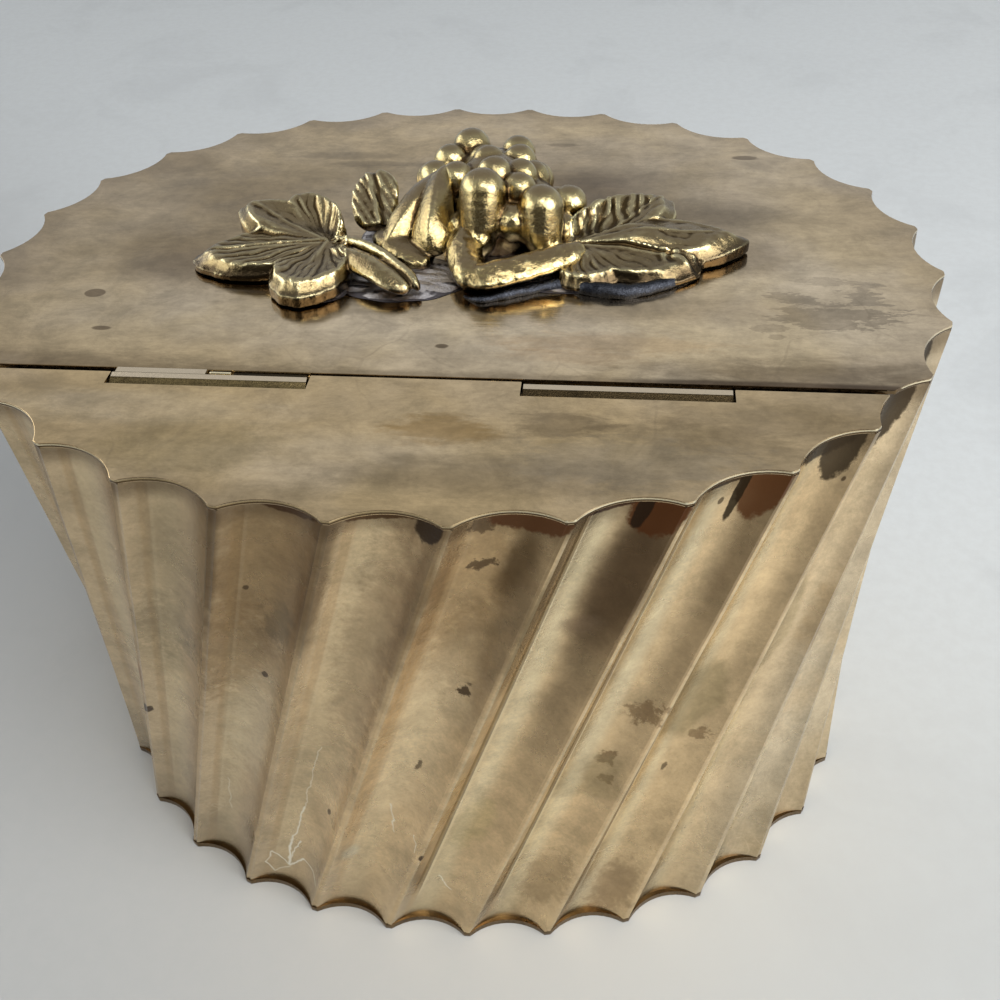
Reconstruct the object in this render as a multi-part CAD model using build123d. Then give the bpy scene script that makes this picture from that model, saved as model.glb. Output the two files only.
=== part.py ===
"""Oval brass trinket box with a swirled, fluted wall, a hinged lid and a cast vine ornament.

Millimetres. Z is up, the floor is z = 0 and the origin is the middle of the base.
The lid opens at the front, -Y. The fixed rear plate and the two hinges are at +Y.
"""
from build123d import *
from math import copysign, cos, hypot, pi, radians, sin, sqrt
import os

# The oval, over the points of the scallops
HALF_LENGTH = 63.5
HALF_WIDTH = 52.1
SQUARENESS = 2.13  # 2 is a plain ellipse, more is squarer
HEIGHT = 84.1  # floor to the top of the lid
BASE_INSET = 1.75  # the base is this much smaller all round

# Fluted wall
FLUTES = 30
SWIRL = 2.2  # flutes that the wall turns by on its way up
FLUTE_DEPTH = 2.6
RIDGE_LAND = 0.9  # narrow flat along each ridge
WALL = 1.0

# Plates cut from sheet
SCALLOP_DEPTH = 2.0
LID_SHEET = 0.7  # lid and rear plate
BASE_SHEET = 1.0

# Hinges: a barrel and leaf under the lid, a pin, and a bracket under the rear plate
REAR_DEPTH = 25.65  # from the lid's straight rear edge to the back of the oval
CORNER_TO_HINGE = {"left": 20.7, "right": 18.8}  # lid corner to the near end of its hinge
HINGE_LENGTH = 23.6
BARREL_RADIUS = 1.3
BARREL_PROUD = 0.1  # flat filed on the barrel, above the lid
PIN_RADIUS = 0.35
PIN_CLEARANCE = 0.05
PIN_COVER = 0.05  # metal of the ears over the pin
SEAM = 0.35  # groove between the lid's edge and the barrel
LEAF_DEPTH = 5.2  # from the pin to the leaf's free edge
HINGE_SHEET = 0.6
FLANGE_DEPTH = 4.0
EAR_LENGTH = 2.0
END_CLEARANCE = 0.2  # along the pin
NOTCH_CLEARANCE = 0.25  # behind the barrel
SWING_CLEARANCE = 0.09  # lid's lower edge to the rear plate as it swings past
OUTER_SETBACK = 0.35  # wider gap outside the hinges

# Cast ornament: places are measured from the middle of the box, heights from the lid
SOLDER = 0.3
LEAF_THICKNESS = 3.2
LEAF_CROWN = 160.0  # radius of the crowned top of a leaf
RIGHT_HEART = (16.0, -1.0)
RIGHT_LOBES = ((16, 19.5, 10.5), (-37, 21.0, 7.0), (-66, 16.0, 7.5), (84, 13.0, 10.0))
LEFT_HEART = (-18.0, -2.2)
LEFT_LOBES = ((-121, 20.5, 9.0), (184, 21.0, 8.5), (157, 15.5, 9.5), (112, 10.5, 9.0))
STEM_FOOT = (-4.4, 8.2, 2.0)
KNOT = 1.12  # thickness of a knot over that of its stem
BUNCH_START = (-8.0, -2.5)  # middle of the row of grapes by the stem
BUNCH_STEP = (1.2, -4.7)  # from each row to the next
GRAPE_SPREAD = 130  # degrees of arch that a row of grapes covers
CORE_DEPTH = 1.1  # from the middle of a grape down to the core it sits on
BUNCH_ROWS = (  # grapes, half width, height of the crest, grape radius
    (3, 7.5, 9.0, 3.0),
    (4, 9.0, 8.8, 2.6),
    (4, 8.2, 7.8, 2.4),
    (3, 6.5, 6.8, 2.4),
    (2, 4.8, 5.6, 2.4),
    (1, 3.0, 3.4, 2.2),
)

PLATE_UNDERSIDE = HEIGHT - LID_SHEET
LID_EDGE_Y = HALF_WIDTH - REAR_DEPTH
AXIS_BEHIND_EDGE = BARREL_RADIUS + SEAM
AXIS_BELOW_TOP = LID_SHEET + PIN_COVER + PIN_RADIUS
AXIS_Y = LID_EDGE_Y + AXIS_BEHIND_EDGE
AXIS_Z = HEIGHT - AXIS_BELOW_TOP
NOTCH_LENGTH = HINGE_LENGTH + 2 * END_CLEARANCE
NOTCH_REAR_Y = AXIS_Y + BARREL_RADIUS + NOTCH_CLEARANCE
ORNAMENT_Z = HEIGHT + SOLDER


def swing_gap():
    """Gap between lid and rear plate that lets the lid's lower edge swing up past the plate."""
    swing = hypot(AXIS_BEHIND_EDGE, PIN_COVER + PIN_RADIUS)
    return AXIS_BEHIND_EDGE - sqrt(swing**2 - AXIS_BELOW_TOP**2) + SWING_CLEARANCE


def squared(value, half_size):
    """Coordinate on the oval for a cosine or sine of the turn."""
    return half_size * copysign(abs(value) ** (2 / SQUARENESS), value)


def oval(inset, height):
    """Slightly squared oval at one height, as a closed curve that starts at +X."""
    turns = [2 * pi * step / 48 for step in range(48)]
    points = [
        (squared(cos(turn), HALF_LENGTH - inset), squared(sin(turn), HALF_WIDTH - inset), height)
        for turn in turns
    ]
    return Edge.make_spline(points, periodic=True)


def scallops(inset, depth, height, turned=0.0):
    """Edges of a fluted outline: a flat land and a hollow arc for each flute, going round."""
    rim = oval(inset, height)
    half_land = RIDGE_LAND / 2 / rim.length
    edges = []
    for flute in range(FLUTES):
        ridge = (flute - turned) / FLUTES
        land_start = rim.position_at((ridge - half_land) % 1)
        land_end = rim.position_at((ridge + half_land) % 1)
        next_land = rim.position_at((ridge + 1 / FLUTES - half_land) % 1)
        inward = Vector(0, 0, 1).cross(next_land - land_end).normalized()
        hollow = (land_end + next_land) / 2 + inward * depth
        edges.append(Edge.make_line(land_start, land_end))
        edges.append(Edge.make_three_point_arc(land_end, hollow, next_land))
    return edges


def wall_skin(inset):
    """The fluted surface between base and lid, and its outlines at the bottom and the top."""
    bottom = scallops(BASE_INSET + inset, FLUTE_DEPTH, BASE_SHEET, turned=SWIRL)
    top = scallops(inset, FLUTE_DEPTH, PLATE_UNDERSIDE)
    faces = [Face.make_surface_from_curves(low, high) for low, high in zip(bottom, top)]
    return faces, Wire(bottom), Wire(top)


def body_wall():
    """Fluted sheet wall, open at the top and the bottom."""
    outer, outer_bottom, outer_top = wall_skin(0)
    inner, inner_bottom, inner_top = wall_skin(WALL)
    rims = [Face(outer_bottom, [inner_bottom]), Face(outer_top, [inner_top])]
    return Solid(Shell(outer + inner + rims))


def plate(inset, height, thickness, turned=0.0):
    """Flat sheet with a scalloped edge."""
    outline = Face(Wire(scallops(inset, SCALLOP_DEPTH, height, turned)))
    return extrude(outline, thickness, dir=(0, 0, 1))


def span(centre, length):
    """Ends of a length about its middle."""
    return centre - length / 2, centre + length / 2


def block(x_ends, y_ends, z_ends):
    """Box between two corners."""
    ends = (x_ends, y_ends, z_ends)
    middle = [(low + high) / 2 for low, high in ends]
    return Pos(*middle) * Box(*[high - low for low, high in ends])


def base_plate():
    return plate(BASE_INSET, 0, BASE_SHEET, turned=SWIRL)


def through_top(x_ends, y_ends):
    """Block that goes right through the top plates."""
    return block(x_ends, y_ends, span(HEIGHT, 4 * LID_SHEET))


def lid_plate():
    """Front part of the top, up to its straight rear edge."""
    front = through_top(span(0, 3 * HALF_LENGTH), (-2 * HALF_WIDTH, LID_EDGE_Y))
    return plate(0, PLATE_UNDERSIDE, LID_SHEET) & front


def hinge_centre(side):
    """X of the middle of a hinge, measured in from the lid's corner."""
    corner = HALF_LENGTH * (1 - (LID_EDGE_Y / HALF_WIDTH) ** SQUARENESS) ** (1 / SQUARENESS)
    middle = corner - CORNER_TO_HINGE[side] - HINGE_LENGTH / 2
    return middle if side == "right" else -middle


def rear_plate():
    """Fixed rear part of the top, with a notch for each hinge."""
    edge_y = LID_EDGE_Y + swing_gap()
    rear = plate(0, PLATE_UNDERSIDE, LID_SHEET)
    rear &= through_top(span(0, 3 * HALF_LENGTH), (edge_y, 2 * HALF_WIDTH))
    for side, outward in (("left", -1), ("right", 1)):
        centre = hinge_centre(side)
        rear -= through_top(span(centre, NOTCH_LENGTH), (LID_EDGE_Y, NOTCH_REAR_Y))
        beyond = centre + outward * HALF_LENGTH
        rear -= through_top(sorted((centre, beyond)), (LID_EDGE_Y, edge_y + OUTER_SETBACK))
    return rear


def along_pin(radius, centre, length):
    """Cylinder on the hinge axis."""
    return Pos(centre, AXIS_Y, AXIS_Z) * Rot(0, 90, 0) * Cylinder(radius, length)


def hinge_knuckle(centre):
    """Barrel and leaf of the lid, filed flat on top; the leaf is soldered under the lid."""
    barrel = along_pin(BARREL_RADIUS, centre, HINGE_LENGTH)
    leaf = block(span(centre, HINGE_LENGTH), (AXIS_Y - LEAF_DEPTH, AXIS_Y),
                 (PLATE_UNDERSIDE - HINGE_SHEET, PLATE_UNDERSIDE))
    filed_off = block(span(centre, 2 * HINGE_LENGTH), span(AXIS_Y, 4 * BARREL_RADIUS),
                      (HEIGHT + BARREL_PROUD, HEIGHT + 4 * BARREL_RADIUS))
    bore = along_pin(PIN_RADIUS + PIN_CLEARANCE, centre, 2 * HINGE_LENGTH)
    return barrel + leaf - filed_off - bore


def hinge_pin(centre):
    return along_pin(PIN_RADIUS, centre, NOTCH_LENGTH + 2 * EAR_LENGTH)


def hinge_bracket(centre):
    """Flange soldered under the rear plate, with an ear at each end that holds the pin."""
    length = NOTCH_LENGTH + 2 * EAR_LENGTH
    flange_rear = NOTCH_REAR_Y + FLANGE_DEPTH
    bracket = block(span(centre, length), (NOTCH_REAR_Y, flange_rear),
                    (PLATE_UNDERSIDE - HINGE_SHEET, PLATE_UNDERSIDE))
    for side in (-1, 1):
        ear = span(centre + side * (NOTCH_LENGTH + EAR_LENGTH) / 2, EAR_LENGTH)
        arm = block(ear, (AXIS_Y, span(NOTCH_REAR_Y, FLANGE_DEPTH)[1]),
                    (AXIS_Z - BARREL_RADIUS, PLATE_UNDERSIDE))
        above = block(ear, span(AXIS_Y, 4 * BARREL_RADIUS), (PLATE_UNDERSIDE, 2 * HEIGHT))
        bracket += along_pin(BARREL_RADIUS, sum(ear) / 2, EAR_LENGTH) + arm - above
    return bracket - along_pin(PIN_RADIUS, centre, 2 * length)


def at_height(x, y, height):
    """Place on the ornament, measured up from the lid."""
    return Vector(x, y, HEIGHT + height)


def twig(start, end, start_radius, end_radius):
    """Tapered round length of a stem that ends in a slightly thicker knot."""
    start, end = at_height(*start), at_height(*end)
    rising = (Align.CENTER, Align.CENTER, Align.MIN)
    length = Cone(start_radius, end_radius, (end - start).length, align=rising)
    return Plane(start, z_dir=end - start) * length + Pos(*end) * Sphere(KNOT * end_radius)


def blade(start, end, width, thickness):
    """Flat oval leaf between two points, level across its width."""
    start, end = at_height(*start), at_height(*end)
    along = end - start
    across = Vector(0, 0, 1).cross(along)
    lie = Plane((start + end) / 2, x_dir=along, z_dir=along.cross(across))
    return lie * extrude(Ellipse(along.length / 2, width / 2), thickness / 2, both=True)


def lobe(heart, angle, length, width):
    """Rounded lobe of a leaf: an oval that starts a little behind the leaf's heart."""
    behind = width / 3
    oval_middle = Pos(*heart) * Rot(0, 0, angle) * Pos((length - behind) / 2, 0)
    return oval_middle * Ellipse((length + behind) / 2, width / 2)


def vine_leaf(heart, lobes):
    """Cast leaf: thick lobes under one crowned top."""
    outline = Sketch() + [lobe(heart, *sizes) for sizes in lobes]
    thick = extrude(Pos(0, 0, ORNAMENT_Z) * outline, LEAF_THICKNESS)
    return thick & Pos(*heart, ORNAMENT_Z + LEAF_THICKNESS - LEAF_CROWN) * Sphere(LEAF_CROWN)


def grape_bunch():
    """Arched rows of grapes, each over a round core that joins it to the next row."""
    bunch = Part()
    step = Vector(*BUNCH_STEP)
    for row, (count, half_width, crest, radius) in enumerate(BUNCH_ROWS):
        middle = at_height(*BUNCH_START, 0) + step * row
        bunch += Pos(*(middle + step / 2)) * Sphere(crest - CORE_DEPTH)
        for grape in range(count):
            lean = radians(GRAPE_SPREAD * ((grape + 0.5) / count - 0.5))
            aside = Vector(half_width * sin(lean), 0, crest * cos(lean))
            bunch += Pos(*(middle + aside)) * Sphere(radius)
    return bunch


def vine_stem():
    """Forked stem: down from the bunch, then out to the left leaf."""
    arm = twig((BUNCH_START[0] + 5, BUNCH_START[1] + 1, 5.0), STEM_FOOT, 1.7, 1.9)
    return arm + twig(STEM_FOOT, (LEFT_HEART[0] + 2, LEFT_HEART[1] + 4, 2.8), 1.9, 1.5)


def right_leaf():
    """Leaf with the cut end of its own stalk."""
    x, y = RIGHT_HEART
    knot = (x - 7, y + 5.5, 2.1)
    stalk = twig((x, y + 0.5, 1.8), knot, 1.3, 1.7)
    return vine_leaf(RIGHT_HEART, RIGHT_LOBES) + stalk + twig(knot, (x - 12.6, y + 11, 1.2), 1.7, 0.9)


def left_leaf():
    return vine_leaf(LEFT_HEART, LEFT_LOBES)


def folded_leaf():
    """Folded leaf down the right side of the bunch, with a narrow turned edge beside it."""
    fold = blade((4.4, -13.5, 7.4), (2.6, 1.2, 1.4), 5.8, 3.6)
    return fold + blade((5.8, -12.5, 6.4), (9.2, -1.0, 1.6), 3.0, 2.2)


def small_leaf():
    """Small leaf that rises behind the folded one."""
    return blade((10.4, -6.0, 0.2), (12.4, -16.2, 5.4), 6.0, 1.8)


def ornament_solder():
    """Thin run of solder between the lid and the castings."""
    puddles = [
        Pos(5.5, 4) * Ellipse(12.5, 7),
        Pos(-18, 3.2) * Ellipse(16.5, 7.2),
        Pos(*(Vector(*BUNCH_START) + Vector(*BUNCH_STEP) * 2)) * Ellipse(8, 13),
        Pos(9, -7) * Ellipse(5, 6),
    ]
    return extrude(Pos(0, 0, HEIGHT) * (Sketch() + puddles), SOLDER)


def castings():
    """The castings in the order they are laid, each cut to sit against those before it."""
    below = block(span(0, 2 * HALF_LENGTH), span(0, 2 * HALF_WIDTH), (0, ORNAMENT_Z))
    laid = {}
    for make in (grape_bunch, vine_stem, right_leaf, left_leaf, folded_leaf, small_leaf):
        casting = make() - below
        for earlier in laid.values():
            casting -= earlier
        laid[make.__name__] = casting
    return laid


nodes = {make.__name__: make() for make in (body_wall, base_plate, rear_plate, lid_plate, ornament_solder)}
nodes.update(castings())
for side in CORNER_TO_HINGE:
    for make in (hinge_knuckle, hinge_pin, hinge_bracket):
        nodes[f"{side}_{make.__name__}"] = make(hinge_centre(side))

os.makedirs("parts", exist_ok=True)
for name, shape in nodes.items():
    export_step(shape, f"parts/{name}.step")
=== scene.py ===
import math

import bpy
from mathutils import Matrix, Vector, noise


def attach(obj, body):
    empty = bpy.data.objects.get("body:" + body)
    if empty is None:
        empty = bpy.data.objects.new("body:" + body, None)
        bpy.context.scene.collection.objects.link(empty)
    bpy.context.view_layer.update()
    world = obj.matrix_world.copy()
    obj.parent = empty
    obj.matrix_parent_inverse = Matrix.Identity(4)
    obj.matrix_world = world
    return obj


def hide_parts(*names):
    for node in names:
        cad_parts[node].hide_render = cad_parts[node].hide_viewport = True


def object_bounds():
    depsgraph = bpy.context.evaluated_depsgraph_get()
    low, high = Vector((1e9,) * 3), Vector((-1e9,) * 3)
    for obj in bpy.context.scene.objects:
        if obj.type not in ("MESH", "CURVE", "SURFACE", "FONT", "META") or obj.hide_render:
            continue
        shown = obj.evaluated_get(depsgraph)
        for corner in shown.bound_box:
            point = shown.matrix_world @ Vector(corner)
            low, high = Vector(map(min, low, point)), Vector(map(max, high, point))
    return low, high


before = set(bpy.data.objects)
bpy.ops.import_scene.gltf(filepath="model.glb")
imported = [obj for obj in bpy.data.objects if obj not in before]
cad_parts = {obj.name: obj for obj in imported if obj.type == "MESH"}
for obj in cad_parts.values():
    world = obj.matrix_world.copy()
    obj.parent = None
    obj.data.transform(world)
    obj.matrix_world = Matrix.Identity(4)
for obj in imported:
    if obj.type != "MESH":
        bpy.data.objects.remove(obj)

cad_box = [list(corner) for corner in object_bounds()]
MM = 0.001

# The wall is one strip of 1 mm brass sheet, rolled to an oval and pressed into hollow flutes
# that lean as they rise. A narrow flat runs along each ridge and dies out above the base.
# It stands on the base plate and carries the two top plates. Years of handling left it satin.
HALF_LENGTH, HALF_WIDTH, SQUARENESS = 63.5, 52.1, 2.13
FLUTES, SWIRL, FLUTE_DEPTH, RIDGE_LAND = 30, 2.2, 2.6, 0.9
BASE_INSET, WALL_FOOT, WALL_TOP, WALL_THICKNESS = 1.75, 1.0, 83.4, 1.0
FLUTE_PITCH = 12.0  # millimetres round the oval at the rim
OVAL_STEPS, WALL_ROWS = 1800, 44
FLUTE_COLUMNS = (0.0, 0.018, 0.036, 0.07, 0.11, 0.145, 0.172, 0.19, 0.21, 0.225, 0.238, 0.252, 0.275, 0.31,
                 0.36, 0.42, 0.48, 0.54, 0.60, 0.66, 0.72, 0.78, 0.84, 0.89, 0.93, 0.964, 0.982)
LINE_AT, LINE_HALF, LINE_DEPTH, FLANK_BULGE, RIDGE_WEAR = 0.215, 0.03, 0.16, 0.12, 0.2
# how sharply the tool line shows beside each ridge, from +X round the wall
LINE_STRENGTH = (0.5, 0.4, 0.6, 0.4, 0.3, 0.3, 0.2, 0.05, 0.1, 0.7, 1.0, 1.0, 0.9, 0.8, 0.6)
DENT_HEIGHT, DENT_SIZE, DENT_BIAS = 0.07, 13, 0.35


def squared(value, half_size):
    """Coordinate on the slightly squared oval for a cosine or sine of the turn."""
    return half_size * math.copysign(abs(value) ** (2 / SQUARENESS), value)


def oval(inset):
    """Points round the oval at equal lengths along it, from +X, and its whole length, in millimetres."""
    turns = [2 * math.pi * step / OVAL_STEPS for step in range(OVAL_STEPS + 1)]
    raw = [Vector((squared(math.cos(t), HALF_LENGTH - inset), squared(math.sin(t), HALF_WIDTH - inset)))
           for t in turns]
    run = [0.0]
    for before, after in zip(raw, raw[1:]):
        run.append(run[-1] + (after - before).length)
    spaced, at = [], 0
    for step in range(OVAL_STEPS):
        wanted = run[-1] * step / OVAL_STEPS
        while run[at + 1] < wanted:
            at += 1
        spaced.append(raw[at].lerp(raw[at + 1], (wanted - run[at]) / (run[at + 1] - run[at])))
    return spaced, run[-1]


def on_oval(rim, share):
    """Point at that share of the way round."""
    place = (share % 1) * OVAL_STEPS
    low = int(place)
    return rim[low % OVAL_STEPS].lerp(rim[(low + 1) % OVAL_STEPS], place - low)


def flute_columns(inset, turned, depth):
    """Points across every flute, as (point, place round the wall in flutes), closed with the first one."""
    rim, length = oval(inset)
    half_land = RIDGE_LAND / 2 / length
    land_share = half_land * FLUTES
    columns = []
    for flute in range(FLUTES):
        ridge = (flute - turned) / FLUTES
        land_end = on_oval(rim, ridge + half_land)
        next_land = on_oval(rim, ridge + 1 / FLUTES - half_land)
        chord = next_land - land_end
        inward = Vector((-chord.y, chord.x)).normalized()
        radius = (chord.length_squared / 4 + depth ** 2) / (2 * depth)
        centre = (land_end + next_land) / 2 + inward * (depth - radius)
        half_turn = math.asin(chord.length / 2 / radius)
        for across in FLUTE_COLUMNS:
            if land_share < across < 1 - land_share:
                swing = half_turn * (2 * (across - land_share) / (1 - 2 * land_share) - 1)
                point = centre + radius * (math.sin(swing) * chord.normalized() + math.cos(swing) * inward)
            else:
                point = on_oval(rim, ridge + across / FLUTES)
            columns.append((point, flute + across))
    return columns + [(columns[0][0], FLUTES)]


def only(*pieces):
    """Selects these pieces alone and makes the last one active."""
    bpy.ops.object.select_all(action="DESELECT")
    for piece in pieces:
        piece.select_set(True)
    bpy.context.view_layer.objects.active = pieces[-1]


def new_piece(name):
    """Names the primitive that was just added."""
    piece = bpy.context.object
    piece.name = piece.data.name = name
    return piece


def with_modifier(piece, kind, **settings):
    """Puts a modifier on a piece and applies it."""
    only(piece)
    modifier = piece.modifiers.new(kind.lower(), kind)
    for setting, value in settings.items():
        setattr(modifier, setting, value)
    bpy.ops.object.modifier_apply(modifier=modifier.name)


def in_edit_mode(piece, *steps):
    """Runs edit steps, each an operator and its settings, on the whole of a piece."""
    only(piece)
    bpy.ops.object.mode_set(mode="EDIT")
    bpy.ops.mesh.select_all(action="SELECT")
    for operator, settings in steps:
        operator(**settings)
    bpy.ops.object.mode_set(mode="OBJECT")


def smooth(piece, degrees):
    """Smooth shading with hard edges kept above that angle."""
    only(piece)
    bpy.ops.object.shade_smooth_by_angle(angle=math.radians(degrees))


def falls(value, low, high):
    """1 below low, 0 above high, smooth between."""
    share = min(max((high - value) / (high - low), 0), 1)
    return share * share * (3 - 2 * share)


def rides(piece, body, nodes):
    """Says which body a piece moves with, which CAD nodes it stands in for."""
    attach(piece, body)
    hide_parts(nodes)


MERGED = (bpy.ops.mesh.remove_doubles, {"threshold": 1e-6})
FACING_OUT = (bpy.ops.mesh.normals_make_consistent, {"inside": False})
bpy.ops.object.select_all(action="DESELECT")
bpy.ops.mesh.primitive_grid_add(x_subdivisions=FLUTES * len(FLUTE_COLUMNS), y_subdivisions=WALL_ROWS, size=1)
wall = new_piece("fluted_wall")
low_columns = flute_columns(BASE_INSET, SWIRL, FLUTE_DEPTH)
high_columns = flute_columns(0, 0, FLUTE_DEPTH)
for vertex in wall.data.vertices:
    column = round((vertex.co.x + 0.5) * (len(high_columns) - 1))
    rise = vertex.co.y + 0.5
    point = low_columns[column][0].lerp(high_columns[column][0], rise)
    outward = Vector((point.x / HALF_LENGTH ** 2, point.y / HALF_WIDTH ** 2)).normalized()
    across = high_columns[column][1] % 1
    lined = LINE_STRENGTH[int(high_columns[column][1]) % len(LINE_STRENGTH)]
    alive = (1 - falls(rise, 0.05, 0.14)) * lined
    sunk = alive * LINE_DEPTH * falls(abs(across - LINE_AT), LINE_HALF * 0.5, LINE_HALF * 1.3)
    sunk += (1 - lined) * RIDGE_WEAR * falls(min(across, 1 - across), 0.0, 0.07)
    sunk -= alive * FLANK_BULGE * falls(abs(across - 0.1), 0.02, 0.1) * falls(rise, 0.9, 1.0)
    height = WALL_FOOT + (WALL_TOP - WALL_FOOT) * rise
    dent = DENT_HEIGHT * (noise.noise(Vector((point.x, point.y, height)) / DENT_SIZE) - DENT_BIAS)
    point -= outward * (sunk - min(dent, 0) * falls(abs(rise - 0.5), 0.42, 0.5))
    vertex.co = Vector((point.x, point.y, height)) * MM
for corner in wall.data.uv_layers[0].data:
    corner.uv.x = high_columns[round(corner.uv.x * (len(high_columns) - 1))][1] / FLUTES
in_edit_mode(wall, MERGED, FACING_OUT)
with_modifier(wall, "SOLIDIFY", thickness=WALL_THICKNESS * MM, offset=-1, use_even_offset=True)
for vertex in wall.data.vertices:
    vertex.co.z = min(max(vertex.co.z, WALL_FOOT * MM), WALL_TOP * MM)
smooth(wall, 50)


def node(kind, inputs, tree=None, out=0, **settings):
    """Adds a shader node beside those that feed it; inputs maps names or numbers to values or outputs."""
    if tree is None:
        tree = next(value.id_data for value in inputs.values() if isinstance(value, bpy.types.NodeSocket))
    made = tree.nodes.new("ShaderNode" + kind)
    for setting, value in settings.items():
        setattr(made, setting, value)
    for key, value in inputs.items():
        if isinstance(value, bpy.types.NodeSocket):
            tree.links.new(value, made.inputs[key])
        else:
            made.inputs[key].default_value = value
    return made.outputs[out]


def maths(operation, *values):
    return node("Math", dict(enumerate(values)), operation=operation)


def times(*values):
    return maths("MULTIPLY", *values)


def plus(*values):
    return maths("ADD", *values)


def minus(*values):
    return maths("SUBTRACT", *values)


def vectors(operation, *values, out=0):
    return node("VectorMath", dict(enumerate(values)), operation=operation, out=out)


def ramped(value, low, high, to_low=0.0, to_high=1.0, how="SMOOTHSTEP"):
    """Value taken from low..high to to_low..to_high."""
    return node("MapRange", {0: value, 1: low, 2: high, 3: to_low, 4: to_high}, interpolation_type=how)


def band(value, start, full, fading, end):
    """1 between full and fading, 0 outside start and end."""
    return times(ramped(value, start, full), ramped(value, end, fading))


def mottled(place, scale, detail=2.0, roughness=0.5, distortion=0.0, out=0):
    """Cloudy noise at that place."""
    return node("TexNoise", {"Vector": place, "Scale": scale, "Detail": detail, "Roughness": roughness,
                             "Distortion": distortion}, out=out)


def stretched(place, *scale):
    return node("Mapping", {"Vector": place, "Scale": scale})


def blended(amount, first, second, how="MIX"):
    """Colour that goes from first to second."""
    first, second = (colour if isinstance(colour, bpy.types.NodeSocket) else (*colour, 1)
                     for colour in (first, second))
    return node("Mix", {0: amount, 6: first, 7: second}, out=2, data_type="RGBA", blend_type=how)


def over(colour, patch, mask, amount=1.0):
    """Colour with a patch laid over it where the mask is, that strongly."""
    return blended(times(mask, amount), colour, patch)


def new_effect(name, inputs, outputs=("Mask",)):
    """Empty node group with its named sockets: the group, what comes in and what goes out."""
    group = bpy.data.node_groups.new(name, "ShaderNodeTree")
    for socket, value in inputs.items():
        kind = "NodeSocketFloat" if isinstance(value, float) else "NodeSocketVector"
        group.interface.new_socket(name=socket, in_out="INPUT", socket_type=kind).default_value = value
    for socket in outputs:
        group.interface.new_socket(name=socket, in_out="OUTPUT", socket_type="NodeSocketFloat")
    return group, group.nodes.new("NodeGroupInput").outputs, group.nodes.new("NodeGroupOutput").inputs


def effect(group, inputs):
    """Outputs of one of the effect groups, placed in a material with its own values."""
    return node("Group", inputs, node_tree=group).node.outputs


ORIGIN = (0.0, 0.0, 0.0)
# tarnish: broad clouds, and grain that breaks them up
tarnish, into, out = new_effect("tarnish", {"Vector": ORIGIN, "Size": 40.0, "Cover": 0.5}, ("Cloud", "Grain"))
low_end = minus(0.75, times(into["Cover"], 0.5))
cloud = ramped(mottled(into["Vector"], into["Size"], 7.0, 0.62, 0.6), low_end, plus(low_end, 0.2))
grain = ramped(mottled(into["Vector"], times(into["Size"], 16.0), 3.0, 0.7), 0.3, 0.7)
tarnish.links.new(cloud, out["Cloud"])
tarnish.links.new(grain, out["Grain"])

# spots: small dark corrosion marks, in loose clusters
spots, into, out = new_effect("corrosion_spots", {"Vector": ORIGIN, "Size": 500.0, "Cover": 0.5})
shaken = mottled(into["Vector"], times(into["Size"], 1.7), out="Color")
shaken = vectors("ADD", vectors("MULTIPLY", shaken, (0.002, 0.002, 0.002)), into["Vector"])
dots = node("TexVoronoi", {"Vector": shaken, "Scale": into["Size"]}).node.outputs
few = times(ramped(dots["Color"], 0.35, 0.2), ramped(dots["Distance"], 0.34, 0.18))
allowed = ramped(mottled(into["Vector"], times(into["Size"], 0.18)), minus(0.85, times(into["Cover"], 0.5)),
                 0.85, how="LINEAR")
spots.links.new(times(few, allowed), out["Mask"])

# brushing: long fine lines along the direction with the small stretch
brushing, into, out = new_effect("brushing", {"Vector": ORIGIN, "Stretch": (40.0, 2500.0, 2500.0)}, ("Height",))
drawn = vectors("MULTIPLY", into["Vector"], into["Stretch"])
brushing.links.new(mottled(drawn, 1.0, 4.0, 0.7), out["Height"])

# hairlines: sparse curled scratches
hairlines, into, out = new_effect("hairlines", {"Vector": ORIGIN, "Size": 90.0, "Curl": 0.012, "Cover": 0.5})
wander = node("VectorMath", {0: mottled(into["Vector"], into["Size"], out="Color"), "Scale": into["Curl"]},
              operation="SCALE")
cracks = node("TexVoronoi", {"Vector": vectors("ADD", wander, into["Vector"]), "Scale": into["Size"]},
              feature="DISTANCE_TO_EDGE", out="Distance")
here = ramped(mottled(into["Vector"], times(into["Size"], 0.7)), minus(0.8, times(into["Cover"], 0.5)), 0.8,
              how="LINEAR")
hairlines.links.new(times(ramped(cracks, 0.018, 0.004), here), out["Mask"])

# stain: a ragged patch round a centre, in whatever measure the position comes in
stain, into, out = new_effect("stain", {"Position": ORIGIN, "Centre": ORIGIN, "Half": (1.0, 1.0, 1.0),
                                        "Wobble": 0.5, "Ragged": 1.0, "Soft": 0.3})
away = vectors("DIVIDE", vectors("SUBTRACT", into["Position"], into["Centre"]), into["Half"])
away = plus(vectors("LENGTH", away, out="Value"), times(minus(into["Wobble"], 0.5), into["Ragged"]))
inside = ramped(away, plus(1.0, into["Soft"]), minus(1.0, into["Soft"]))
stain.links.new(inside, out["Mask"])

# scratch: a straight line from one point to another
scratch, into, out = new_effect("scratch", {"Position": ORIGIN, "Start": ORIGIN, "End": ORIGIN, "Width": 0.1})
run = vectors("SUBTRACT", into["End"], into["Start"])
reach = vectors("SUBTRACT", into["Position"], into["Start"])
share = node("Math", {0: vectors("DOT_PRODUCT", reach, run, out="Value"),
                      1: vectors("DOT_PRODUCT", run, run, out="Value")}, operation="DIVIDE", use_clamp=True)
nearest = node("VectorMath", {0: run, "Scale": share}, operation="SCALE")
away = vectors("DISTANCE", reach, nearest, out="Value")
inside = ramped(away, times(into["Width"], 1.5), times(into["Width"], 0.5), how="LINEAR")
scratch.links.new(inside, out["Mask"])

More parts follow.
